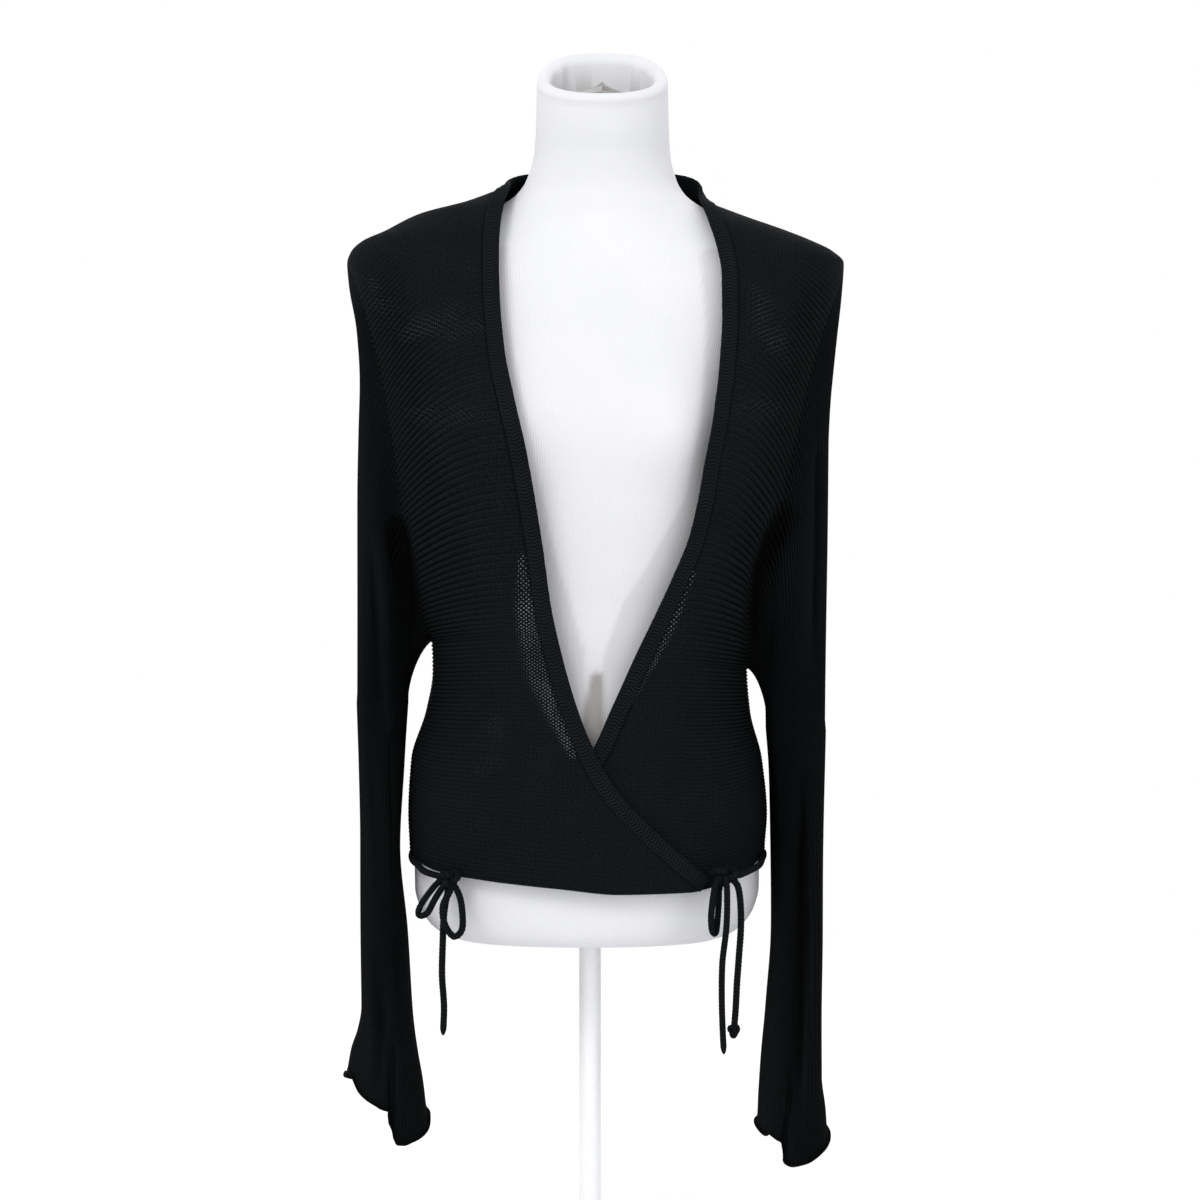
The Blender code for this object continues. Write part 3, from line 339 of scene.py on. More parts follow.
# The knots: each cord is wound round itself three times and pulled fairly tight.
for name, (place, size) in KNOTS.items():
    room = (np.array(size) / 1000 - CORD_RADIUS * 0.9) / (3.0, 1.0, 3.0)
    line = np.array(place) / 1000 + trefoil(160) * room
    line = np.concatenate([line, line[:2]])
    knot = tube(name + "_knit", line, CORD_RADIUS * 0.95, cord_knit, start=1.0)
    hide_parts(name)

# The longer free end on the left is finished with a small overhand knot.
end = np.array(CORDS["tie_end_left_outer"][-1]) / 1000
line = end + (0, 0, 0.002) + trefoil(80) * (0.0012, 0.0014, 0.0015)
end_knot = tube("tie_end_left_knot", line, 0.0018, cord_knit, start=1.0)

# ---- knitted panels
# Fine-gauge black knit, about 2 mm thick, made sideways: every rib starts at a front edge or at
# the neck, runs level over the body, follows the shoulder and goes on down the sleeve. Where the
# cloth hangs loose the ribs close up into deep grooves with painted shade in them, and on the
# chest they are pulled flat.
WALL = 0.002
ROUNDNESS = 2.3         # exponent of the body's cross-sections: 2 is an ellipse
UNDERARM_RISE = 0.006   # the rib of the underarm starts this much higher at the front edge
RIB_DROP = 2.2          # exponent of a rib's fall: it stays level, then drops towards the side
EDGE_SPREAD = 1.5       # above 1 the ribs start closer together towards the neck
OVERLAP = 0.0046        # how far the right front lies over the left one where they cross
RIB_STEPS = 4           # mesh rows for each rib
LOWER_RIBS = 54         # ribs between the hem and the underarm
UPPER_RIBS = 72         # ribs between the underarm and the shoulder
CROWDING = 1.3          # above 1 the ribs lie closer together at the underarm than higher up
FRONT_COLUMNS = 80
NECK_COLUMNS = 28
RIB_DEPTH = 0.0014
LOWER_ROWS = LOWER_RIBS * RIB_STEPS
UPPER_ROWS = UPPER_RIBS * RIB_STEPS
BUST_HEIGHT = 0.708
BUST_APART = 0.068      # from the middle line to either side
BUST_OF_CLOTH = (0.046, 0.058, 0.016)    # how wide, tall and full the rise is in the cloth,
BUST_OF_FORM = (0.036, 0.044, 0.016)     # and on the form below it
SIGN = {"right": -1.0, "left": 1.0}


def table(names, *rows):
    """Named columns from rows of numbers. Lengths are written in mm and kept in metres; the rest
    are shares of a line or a round, and the face that something is seen on."""
    plain = ("along", "round", "face")
    return {name: np.array(column) / (1 if name in plain else 1000)
            for name, column in zip(names.split(), zip(*rows))}


# The dress form: half its width, its depth to the front and to the back, and its leaning middle.
FORM = table(
    "height half_width front back lean shift",
    (300, 108, 78, 84, -2.5, 0), (304, 119, 86, 94, -2.5, 0), (312, 129, 91, 101, -2.5, 0),
    (324, 136.5, 94, 106, -2.5, 0), (340, 140.5, 95, 109, -2.5, 0), (370, 140.8, 96, 110, -2.5, 0),
    (400, 139.8, 96, 109, -2.5, 0), (440, 134.5, 93, 98, -2.5, 0), (485, 122.5, 87, 82, -2.5, 0),
    (520, 118, 83, 74, -2, 0), (560, 119.5, 84, 74, -1.5, 0), (600, 125, 89, 78, -1, 0),
    (650, 135, 98, 86, 0, 0), (700, 147, 103, 95, 1, 0), (750, 161, 97, 102, 2, 1),
    (790, 176, 88, 101, 3.2, 2), (820, 187, 80, 96, 4, 3), (836, 191.5, 75, 91, 4.5, 4),
    (846, 190.5, 71, 88, 4.8, 5), (855, 182, 67, 84, 5.2, 6), (866, 159, 62, 79, 5.8, 7),
    (876, 133, 58, 74, 6.4, 8), (886, 107, 55, 69, 7.2, 9), (896, 84, 53, 63, 8, 9),
    (906, 70, 51, 58, 8.8, 9), (918, 62, 50, 54, 9.4, 8), (940, 56, 50, 52, 10, 6),
    (965, 54.5, 51, 52, 10.2, 3), (1003, 53.7, 52, 52, 10.2, 0),
)

# The worn cardigan's body: how far each side and the front and back reach at each height. Above
# 0.849 the sides are the slope of the shoulders.
BODY = table(
    "height right left front back",
    (340, 147, 143.2, 103, 116), (370, 147.5, 143.2, 103.5, 116), (400, 148.8, 145, 103.5, 114.5),
    (444, 146.5, 141, 101.5, 104), (485, 134, 131, 99, 91), (515, 129, 129, 98.5, 86),
    (540, 130, 133, 99, 86), (560, 139, 137, 100.5, 87), (600, 150, 145, 105, 91),
    (631, 160, 156, 110, 96), (655, 164, 166, 113, 99), (700, 170.5, 177, 115, 105),
    (750, 178, 187, 108, 111), (800, 188, 199, 97, 112), (836, 196, 208, 87, 106),
    (850, 199.3, 208.3, 82, 102), (859, 196.5, 200, 78, 98), (867, 188.5, 184, 75.5, 95),
    (875, 171, 164, 73, 92), (889, 143.5, 124.6, 66, 84), (899, 105.8, 100, 60, 76),
    (910, 75.6, 86, 54, 70),
)

# Where each front's panel ends along the band, from the hem's tip up to the neck point.
EDGE_RIGHT = table(
    "height x",
    (340, 96), (361.8, 69), (385.5, 43.3), (412.1, 17.5), (439.9, -1.2), (483.5, -19.9),
    (525.7, -32.4), (567, -41.6), (615, -48.2), (687, -60.2), (729, -69.8), (766.6, -77.6),
    (818, -82.6), (857.5, -83.6), (885.3, -81.5), (910, -75.6),
)
EDGE_LEFT = table(
    "height x",
    (345, -96), (372, -66), (405, -30), (445.3, 9), (486.6, 29), (524.1, 46), (557.6, 62),
    (587.2, 75.5), (620.3, 88.5), (649.5, 95.2), (677.8, 99.7), (716.7, 107), (754.5, 112.5),
    (797.9, 115.8), (830.9, 116), (859.4, 111.6), (880.2, 105.4), (899, 100),
)

# The hem's height across the front.
HEM = table(
    "x height",
    (-148.4, 369.8), (-123.3, 360.5), (-86, 356), (-23, 350), (24.5, 345.5), (78.5, 345.9),
    (99.3, 349.2), (122.3, 357.5), (141.9, 369.8),
)
BACK_HEM = 0.367        # the hem's height at the middle of the back
TUCK = 0.004            # the lower front's hem lies this much higher where it is covered

UNDERARM = {"right": 0.54, "left": 0.518}
SHOULDER = {"right": 0.85, "left": 0.85}
NECK_POINT = {"right": 0.91, "left": 0.899}
NECK_RISE = 0.024       # how much higher than the neck points the back's neckline runs
ARMHOLE_INSET = 0.012   # how far the armhole's seam lies inside the outline at its middle

# The sleeves: the outline's two edges in front view, depth to front and back, and how far the
# flattened tube is turned, as the front's offset to the wearer's left.
SLEEVE = {
    "right": table(
        "height outer inner front back turn",
        (490, 191.1, 149.5, 60, 62, 2), (440, 191.1, 151.5, 62, 64, 6),
        (375, 191.1, 154.2, 64, 66, 10), (305, 190.2, 148.5, 65, 68, 8),
        (237, 189.7, 144, 67, 70, 10), (200, 193.5, 139.5, 70, 72, 16),
        (172, 199, 135.5, 73, 75, 21), (143, 203, 132.5, 76, 78, 24),
    ),
    "left": table(
        "height outer inner front back turn",
        (468, 191.5, 146, 60, 62, 3), (433, 190, 149, 62, 64, 4), (373, 188.5, 150.5, 64, 66, 4),
        (300, 187.5, 151.5, 66, 68, 5), (235, 185.5, 148, 68, 70, 8), (186, 185, 144.5, 71, 73, 10),
        (152, 188, 142.5, 74, 76, 10), (125.5, 190, 141, 76, 78, 8),
    ),
}
# The outer edge of each sleeve above its first level ring. Nothing reaches further out.
OUTLINE_SOFT = 0.0015   # how softly the sleeve comes up to it
OUTLINE = {
    "right": table(
        "height x",
        (490, 191.1), (654, 190.2), (710, 188.6), (751, 187.2), (792, 190), (833, 198.5),
        (850, 201),
    ),
    "left": table(
        "height x",
        (468, 191.5), (600, 193.8), (700, 194), (732.3, 195.5), (757.7, 198), (795.4, 202.5),
        (836.4, 209), (850, 211),
    ),
}
# The cuffs' rims: how much higher than its lowest point each rim is, round from the inner edge
# over the front to the outer edge, and back over the rear.
CUFF_RIM = {
    "right": table(
        "round rise",
        (0, 18), (0.12, 19), (0.15, 14.5), (0.2, 7.5), (0.225, 3.5), (0.245, 0.8), (0.258, 0.8),
        (0.268, 4.5), (0.276, 12), (0.288, 26), (0.33, 28), (0.38, 29.5), (0.43, 32), (0.47, 37),
        (0.5, 41), (0.55, 40), (0.66, 28), (0.78, 18), (1, 18),
    ),
    "left": table(
        "round rise",
        (0, 12), (0.05, 13), (0.1, 17.5), (0.155, 16.5), (0.172, 6), (0.185, 1), (0.205, 0),
        (0.25, 4), (0.29, 12.5), (0.33, 17), (0.4, 20), (0.5, 20), (0.62, 12), (0.78, 10), (1, 12),
    ),
}
SLEEVE_BEHIND = 0.004   # the sleeves' middle lies this far behind the body's
CUFF_ROUND = 2.5        # exponent of a sleeve's cross-sections
CUFF_FLARE = 0.0012     # the last few millimetres curl outwards

HOLLOW_ALONG = 0.24     # the deep fold between the body and each sleeve: its place and width on
HOLLOW_WIDE = 0.11      # the ring, and how deep it goes
HOLLOW_DEEP = 0.012

# How a sleeve leaves the armhole, from the underarm to the shoulder: outwards, back and down.
SLEEVE_START = table(
    "along out back down",
    (0, 30, 0, 20), (0.12, 34, 12, 40), (0.25, 34, 22, 70), (0.38, 45, 14, 100),
    (0.55, 45, 12, 120), (0.8, 16, 14, 100), (1, 4, 0, 30),
)

# Long creases of the sleeves, seen from the front or the back: the line that each follows, and
# its width and depth.
CREASES = {
    "right": table(
        "face top top_x bottom bottom_x width depth",
        (-1, 520, 173, 330, 166, 9.5, 5), (-1, 310, 164, 140, 169, 9, 6),
        (1, 460, 172, 220, 174, 9.5, 5),
    ),
    "left": table(
        "face top top_x bottom bottom_x width depth",
        (-1, 710, 184, 480, 179, 9, 5), (-1, 420, 168, 140, 164, 9, 7),
        (1, 450, 171, 230, 169, 9.5, 5),
    ),
}


def read(rows, name, at, key="height"):
    """A column at any place, on a smooth curve through the rows that never overshoots them."""
    x, y = rows[key], rows[name]
    at = np.clip(np.asarray(at, float), x[0], x[-1])
    step = np.diff(x)
    slope = np.diff(y) / step
    turn = np.zeros_like(y)
    same = slope[:-1] * slope[1:] > 0
    both = np.where(same, slope[:-1] + slope[1:], 1.0)
    turn[1:-1] = np.where(same, 2 * slope[:-1] * slope[1:] / both, 0.0)
    turn[0], turn[-1] = slope[0], slope[-1]
    i = np.clip(np.searchsorted(x, at, side="right") - 1, 0, len(step) - 1)
    t = (at - x[i]) / step[i]
    start, end = y[i] * (1 + 2 * t), y[i + 1] * (3 - 2 * t)
    return (
        start * (1 - t) ** 2
        + end * t**2
        + step[i] * t * (1 - t) * (turn[i] * (1 - t) - turn[i + 1] * t)
    )


def smooth(low, high, at):
    """0 below low, 1 above high, and an even curve between them."""
    t = np.clip((np.asarray(at, float) - low) / (high - low), 0.0, 1.0)
    return t * t * (3 - 2 * t)


def section_depth(across, half_width, depth):
    """How deep a rounded cross-section is at a distance from its middle."""
    share = np.clip(np.abs(across) / half_width, 0.0, 1.0)
    return depth * (1 - share**ROUNDNESS) ** (1 / ROUNDNESS)


def bust(across, height, wide, tall, full):
    """The soft rise over the bust, on both sides of the middle line."""
    lift = np.exp(-(((height - BUST_HEIGHT) / tall) ** 2))
    near = np.exp(-(((np.abs(across) - BUST_APART) / wide) ** 2))
    return full * lift * near


def middle(height):
    """The body's middle line: its x and its y."""
    return read(FORM, "lean", height), read(FORM, "shift", height)


def place_across(x, height):
    """How far x is from the body's middle, how far the body reaches there, and its middle's y."""
    lean, shift = middle(height)
    right, left = read(BODY, "right", height), read(BODY, "left", height)
    return x - lean, np.where(x < lean, right + lean, left - lean), shift


def front_y(side, x, height):
    """The y of the fronts' outer face. The right front lies over the left one."""
    across, reach, shift = place_across(x, height)
    depth = section_depth(across, reach, read(BODY, "front", height))
    share = np.clip(np.abs(across) / reach, 0.0, 1.0)
    depth = depth + bust(across, height, *BUST_OF_CLOTH) * (1 - share**4)
    if side == "right":
        lap = smooth(0.7, 0.48, height) * smooth(-0.14, -0.1, x)
        depth = depth + OVERLAP * lap
    return shift - depth


def back_y(x, height):
    """The y of the back's outer face."""
    across, reach, shift = place_across(x, height)
    return shift + section_depth(across, reach, read(BODY, "back", height))


def ridge(side, x):
    """The height of the shoulder's slope at an x."""
    level = np.linspace(SHOULDER[side], NECK_POINT[side] + 0.001, 200)
    return np.interp(np.abs(x), read(BODY, side, level)[::-1], level[::-1])


def armhole(side, along):
    """The x and height of the armhole's seam, from the underarm, 0, to the shoulder, 1."""
    low, high = UNDERARM[side], SHOULDER[side]
    height = high - (high - low) * (1 - along) ** 1.3
    t = (height - low) / (high - low)
    inset = ARMHOLE_INSET * (4 * t * (1 - t)) ** 0.8
    return SIGN[side] * (read(BODY, side, height) - inset), height


def row_end(side, row):
    """The x and height where a rib leaves the body: at the side seam, or at the armhole."""
    if row <= 0:
        height = UNDERARM[side] + (HEM["height"][0] - UNDERARM[side]) * -row
        return SIGN[side] * float(read(BODY, side, height)), height
    x, height = armhole(side, row)
    return float(x), float(height)


def row_height(side, row, x, edge_height, edge_x):
    """The height of a front's rib at an x, between its front edge and its outer end."""
    end_x, end_height = row_end(side, row)
    run = np.clip((x - edge_x) / (end_x - edge_x), 0.0, 1.0)
    if row <= 0:
        hem = read(HEM, "height", x, key="x")
        if side == "left":
            hem = hem + TUCK * smooth(0.09, 0.06, x)
        level = UNDERARM[side] + UNDERARM_RISE * (1 - run**RIB_DROP)
        return hem + (level - hem) * (1 + row)
    flat = edge_height + (end_height - edge_height) * run**RIB_DROP
    drop_edge = ridge(side, edge_x) - edge_height
    drop_end = ridge(side, end_x) - end_height
    sloping = ridge(side, x) - (drop_edge + (drop_end - drop_edge) * run)
    near_ridge = float(smooth(0.35, 1.0, row))
    return sloping * near_ridge + flat * (1 - near_ridge)


def edge_start(side, row):
    """Where a rib starts on the front edge: its x and its height."""
    edge = EDGE_RIGHT if side == "right" else EDGE_LEFT
    if row > 0:
        low, high = UNDERARM[side] + UNDERARM_RISE, NECK_POINT[side]
        height = high - (high - low) * (1 - row) ** EDGE_SPREAD
        return float(read(edge, "x", height)), height
    low, high = float(edge["height"][0]), UNDERARM[side] + 0.02
    for _ in range(40):
        height = (low + high) / 2
        x = float(read(edge, "x", height))
        wanted = float(row_height(side, row, x, height, x))
        low, high = (height, high) if wanted > height else (low, height)
    return x, height


def rows():
    """The ribs that the rows follow: -1 at the hem, 0 at the underarm, 1 at the shoulder."""
    lower = [i / LOWER_ROWS - 1 for i in range(LOWER_ROWS)]
    return lower + [(i / UPPER_ROWS) ** CROWDING for i in range(UPPER_ROWS + 1)]


def across_front():
    """Places of the columns, 0 at the free edge and 1 at the side: closer together at the side."""
    even = np.linspace(0, 1, FRONT_COLUMNS + 1)
    return 0.2 * even + 0.8 * np.sin(even * math.pi / 2)


def front_panel(side):
    """Points of a front's outer face: a row for each rib, from the front edge to the outer end."""
    grid = []
    for row in rows():
        edge_x, edge_height = edge_start(side, row)
        end_x, _ = row_end(side, row)
        x = edge_x + (end_x - edge_x) * across_front()
        if row == 1:
            height = ridge(side, x)
            y = middle(height)[1]
        else:
            height = row_height(side, row, x, edge_height, edge_x)
            height[0], height[-1] = edge_height, row_end(side, row)[1]
            y = front_y(side, x, height)
        if row <= 0:
            y[-1] = middle(height[-1])[1]
        grid.append(np.stack([x, y, height], axis=1))
    grid = np.array(grid)
    grid[-1, -1, 1] = middle(grid[-1, -1, 2])[1]
    return grid


def back_panel(front_right, front_left):
    """Points of the back's outer face, in the same rows, from the right side to the left one."""
    fronts = {"right": front_right, "left": front_left}
    turn = across_front()[::-1]
    t = np.linspace(0, 1, NECK_COLUMNS + 1)[1:-1]
    grid = []
    for i, row in enumerate(rows()):
        sides, level = {}, {}
        for side, front in fronts.items():
            neck_x, end_x = front[-1][0][0], front[i][-1][0]
            x = neck_x + (end_x - neck_x) * turn
            low = UNDERARM[side] + UNDERARM_RISE
            if row > 0:
                level[side] = NECK_POINT[side] - (NECK_POINT[side] - low) * (1 - row) ** EDGE_SPREAD
            else:
                level[side] = low + (BACK_HEM - low) * -row
            if row == 1:
                height = front[-1][::-1, 2]
            elif row > 0:
                height = row_height(side, row, x, level[side], neck_x)
            else:
                run = (x - neck_x) / (end_x - neck_x)
                height = level[side] + (row_end(side, row)[1] - level[side]) * run**RIB_DROP
            y = back_y(x, height)
            y[0] = front[i][-1][1] if row <= 0 else y[0]
            sides[side] = np.stack([x, y, height], axis=1)
        if row == 1:
            sides = {side: front[-1][::-1] for side, front in fronts.items()}
        right, left = sides["right"][-1], sides["left"][-1]
        rise = NECK_RISE * float(smooth(0.35, 1.0, row)) * np.sin(math.pi * t)
        height = level["right"] + (level["left"] - level["right"]) * t + rise
        x = (right[0] + left[0]) / 2 - (left[0] - right[0]) / 2 * np.cos(t * math.pi)
        y = back_y(x, height - rise)
        if row == 1:
            y = middle(height)[1] + read(BODY, "back", height) * np.sin(t * math.pi) ** 0.8
        neck = np.stack([x, y, height], axis=1)
        grid.append(np.concatenate([sides["right"], neck, sides["left"][::-1]]))
    return np.array(grid)


TOP_RINGS = 34          # of a sleeve, from the armhole to the first level ring
SLEEVE_RINGS = 74       # from there to the cuff
CUFF_FROM = 0.694       # of a sleeve's length, where the cuff's uneven rim begins to tell


def crease(side, x, height, face):
    """How far a sleeve's face is pushed in by its long creases. Points run from its inner edge to
    its outer one, and the creases fade towards both."""
    found = np.zeros(np.shape(x))
    facing = np.sin(np.linspace(0, math.pi, len(x))) ** 8
    lines = CREASES[side]
    for i in np.flatnonzero(lines["face"] == face):
        span = lines["top"][i] - lines["bottom"][i]
        t = (lines["top"][i] - height) / span
        line = lines["top_x"][i] + (lines["bottom_x"][i] - lines["top_x"][i]) * t
        fade = smooth(0.0, 0.25, t) * smooth(1.0, 0.75, t)
        off = (np.abs(x) - line) / lines["width"][i]
        found = np.maximum(found, lines["depth"][i] * fade * facing * np.exp(-(off**2)))
    return found


def sleeve_ring(side, height):
    """Half rings of a sleeve at a height, inner edge to outer edge: the front's and the back's."""
    rows_of = SLEEVE[side]
    key = {name: column[::-1] for name, column in rows_of.items()}
    outer, inner, turn = (float(read(key, name, height)) for name in ("outer", "inner", "turn"))
    centre = SIGN[side] * (outer + inner) / 2
    half = (outer - inner) / 2
    angle = np.linspace(0, math.pi, 600)
    halves = []
    for face, name in ((-1, "front"), (1, "back")):
        depth = float(read(key, name, height))
        reach = np.sin(angle) ** (2 / CUFF_ROUND)
        lean = np.sign(np.cos(angle)) * np.abs(np.cos(angle)) ** (2 / CUFF_ROUND)
        width = math.sqrt(max(half * half - turn * turn, 1e-6))
        x = centre - SIGN[side] * width * lean - face * turn * reach
        y = SLEEVE_BEHIND + face * depth * reach
        ring = np.stack([x, y, np.full_like(x, height)], axis=1)
        ring = evenly(ring, UPPER_ROWS + 1)
        ring[:, 1] -= face * crease(side, ring[:, 0], ring[:, 2], face)
        halves.append(ring)
    return halves


def sleeve_surface(side, front_hole, back_hole):
    """Rings of a sleeve's outer face from the armhole to the cuff, each a closed loop of points
    that starts at the underarm, runs over the front to the shoulder and returns over the back."""
    top, cuff = SLEEVE[side]["height"][[0, -1]]
    first = sleeve_ring(side, top)
    along = np.array(rows()[LOWER_ROWS:])
    start = [read(SLEEVE_START, name, along, key="along") for name in ("out", "back", "down")]
    rings = []
    for t in np.linspace(0, 1, TOP_RINGS + 1)[:-1]:
        halves = []
        for face, hole, ring in ((-1, front_hole, first[0]), (1, back_hole, first[1])):
            leave = np.stack([SIGN[side] * start[0], -face * start[1], -start[2]], axis=1)
            arrive = np.zeros_like(ring)
            arrive[:, 2] = -np.linalg.norm(ring - hole, axis=1)
            part = (
                hole * (1 + 2 * t) * (1 - t) ** 2
                + ring * (3 - 2 * t) * t**2
                + leave * t * (1 - t) ** 2
                - arrive * t**2 * (1 - t)
            )
            room = read(OUTLINE[side], "x", part[:, 2]) - np.abs(part[:, 0])
            held = OUTLINE_SOFT * np.log1p(np.exp(room / OUTLINE_SOFT))
            part[:, 0] += SIGN[side] * (room - held) * smooth(0.0, 0.12, t)
            part[:, 1] -= face * crease(side, part[:, 0], part[:, 2], face) * smooth(0.0, 0.3, t)
            hollow = np.exp(-(((along - HOLLOW_ALONG) / HOLLOW_WIDE) ** 2))
            part[:, 1] -= face * HOLLOW_DEEP * hollow * math.sin(math.pi * t) ** 2
            halves.append(part)
        rings.append(np.concatenate([halves[0], halves[1][-2:0:-1]]))
    for height in top + (cuff - top) * np.linspace(0, 1, SLEEVE_RINGS) ** 0.95:
        front, back = sleeve_ring(side, height)
        ring = np.concatenate([front, back[-2:0:-1]])
        near_cuff = float(smooth(top + (cuff - top) * CUFF_FROM, cuff, height))
        around = np.arange(len(ring)) / len(ring)
        ring[:, 2] += near_cuff * read(CUFF_RIM[side], "rise", around, key="round")
        out = unit(ring[:, :2] - ring[:, :2].mean(0))
        ring[:, :2] += CUFF_FLARE * float(smooth(cuff + 0.01, cuff, height)) * out
        rings.append(ring)
    return np.array(rings)


fronts = {side: front_panel(side) for side in SIGN}
back = back_panel(fronts["right"], fronts["left"])
hole_rows = slice(LOWER_ROWS, None)
sleeves = {
    "right": sleeve_surface("right", fronts["right"][hole_rows, -1], back[hole_rows, 0]),
    "left": sleeve_surface("left", fronts["left"][hole_rows, -1], back[hole_rows, -1]),
}

rib = np.arange(LOWER_ROWS + UPPER_ROWS + 1)[:, None] / RIB_STEPS
level = np.array(rows())[:, None]
rib_share = smooth(1.0, 0.7, level) * (0.3 + 0.55 * smooth(-0.75, -0.05, level))
grids, closed, ribs, places = {}, {}, {}, {}


def keep(name, points, strength, along, number, turned, loop=False):
    """Keeps a panel's grid, turned so that its columns run anticlockwise seen from above, with how
    deep its ribs are, and each point's distance along its rib and the rib's number."""
    turn = slice(None, None, -1) if turned else slice(None)
    grids[name], closed[name] = points[:, turn], loop
    ribs[name] = strength[:, turn]
    places[name] = np.stack([along, np.broadcast_to(number, along.shape)], axis=-1)[:, turn]


for side, points in fronts.items():
    along = length_along(points, 1)
    from_edge = 0.06 + 0.36 * smooth(0.45, 0.75, level)
    strength = (0.12 + 0.88 * smooth(from_edge, 0.8, along / along[:, -1:])) * rib_share
    along = along + SIGN[side] * points[:, :1, 0]
    keep("front_" + side, points, strength, along, rib, side == "right")
along = length_along(back, 1)
share = np.abs(2 * along / along[:, -1:] - 1)
keep("back", back, (0.1 + 0.9 * smooth(0.3, 0.82, share)) * rib_share, along, rib, True)
half = np.arange(UPPER_ROWS + 1)
round_rib = np.concatenate([half, half[::-1][1:]]) / RIB_STEPS
start = 0.85 * smooth(1.0, 0.7, level[hole_rows, 0])
start = np.concatenate([start, start[-2:0:-1]])[None]
for side, points in sleeves.items():
    along = length_along(points)
    down = smooth(0.0, 0.16, along / along.max())
    strength = start * (1 - down) + 0.42 * down
    along = np.concatenate([along, along[:, :1]], axis=1)
    name, turned = "sleeve_" + side, side == "right"
    keep(name, points[::-1], strength[::-1], along[::-1], round_rib, turned, loop=True)


def shared_normals(grids):
    """Outward normals at the points of several grids, averaged where the grids meet."""
    sizes = {name: grid.shape[0] * grid.shape[1] for name, grid in grids.items()}
    every = np.concatenate([grid.reshape(-1, 3) for grid in grids.values()])
    _, same = np.unique(np.round(every * 2e4).astype(np.int64), axis=0, return_inverse=True)
    same = same.ravel()
    sums = np.zeros((same.max() + 1, 3))
    start = 0
    for name, grid in grids.items():
        number = same[start : start + sizes[name]].reshape(grid.shape[:2])
        start += sizes[name]
        points = grid
        if closed[name]:
            number = np.concatenate([number, number[:, :1]], axis=1)
            points = np.concatenate([grid, grid[:, :1]], axis=1)
        turn = np.cross(points[1:, 1:] - points[:-1, :-1], points[1:, :-1] - points[:-1, 1:])
        for corner in (number[:-1, :-1], number[:-1, 1:], number[1:, 1:], number[1:, :-1]):
            for k in range(3):
                sums[:, k] += np.bincount(corner.ravel(), turn[..., k].ravel(), len(sums))
    sums /= np.maximum(np.linalg.norm(sums, axis=1), 1e-15)[:, None]
    found, start = {}, 0
    for name, grid in grids.items():
        found[name] = sums[same[start : start + sizes[name]]].reshape(grid.shape)
        start += sizes[name]
    return found


SLEEVE_SHADE = 0.45     # painted shade that darkens the sleeves from 0.62 m down

# Soft folds of the worn cardigan. Each is a line seen from the front (-1) or the
# back (1), with its width and its depth, all in mm, and how much of the cloth beside it stands up.
FOLDS = [
    (-1, ((185.2, 698), (183.6, 606), (180.4, 510)), 5, 5.5, 0.3),
    (-1, ((160.9, 650), (147.4, 622), (139, 598), (133.5, 558), (132, 520)), 7.5, 11, 0.25),
    (-1, ((167.1, 440), (164.7, 304), (160, 150)), 8, 12, 0.3),
    (-1, ((171.9, 336), (173.5, 272), (176.7, 200)), 4.5, 4, 0.3),
    (-1, ((167.1, 219.6), (176, 218), (183, 217.2)), 3, 1.8, 0.3),
    (-1, ((-176.8, 622), (-172, 558), (-168.8, 496), (-160.9, 446), (-156.1, 399)), 4.5, 5, 0.3),
    (-1, ((-154.5, 470), (-152.9, 415), (-154.5, 350)), 6, 6, 0.2),
    (-1, ((-156.1, 640), (-150, 600), (-146, 570), (-144, 535)), 8, 11, 0.25),
    (-1, ((-152.5, 310), (-151.7, 250)), 5, 3, 0.3),
    (-1, ((-166.8, 260), (-166, 190)), 5, 3, 0.3),
    (-1, ((-156.4, 225), (-157.2, 190), (-156.4, 148)), 3.5, 4.5, 0.4),
    (-1, ((156.1, 190), (155.3, 160), (155.3, 128)), 3.5, 4.5, 0.4),
    (1, ((160, 660), (147, 625), (139, 590), (134, 535)), 8, 10, 0.25),
    (1, ((-157, 650), (-148, 610), (-144, 575), (-140, 550)), 8, 10, 0.25),
    (1, ((183, 660), (180, 560), (177, 480)), 5.5, 5, 0.3),
    (1, ((166, 420), (169, 330), (165, 210)), 6, 6, 0.3),
    (1, ((-174, 610), (-170, 500), (-165, 420)), 5.5, 5, 0.3),
    (1, ((-162, 400), (-160, 300), (-165, 200)), 6, 6, 0.3),
    (1, ((-90, 470), (-30, 485), (25, 482)), 11, 3, 0.3),
    (1, ((95, 505), (50, 518), (5, 515)), 11, 2.8, 0.3),
]


def line_distance(points, line):
    """Distance of points from a line of several stretches, and where along it they are, 0 to 1."""
    line = np.array(line, float)
    reach = length_along(line)
    near, where = np.full(len(points), 1e3), np.zeros(len(points))
    for a, b, start, stop in zip(line[:-1], line[1:], reach[:-1], reach[1:]):
        t = np.clip(((points - a) @ (b - a)) / ((b - a) @ (b - a)), 0, 1)
        away = np.linalg.norm(points - a - t[:, None] * (b - a), axis=1)
        closer = away < near
        near = np.where(closer, away, near)
        where = np.where(closer, (start + t * (stop - start)) / reach[-1], where)
    return near, where


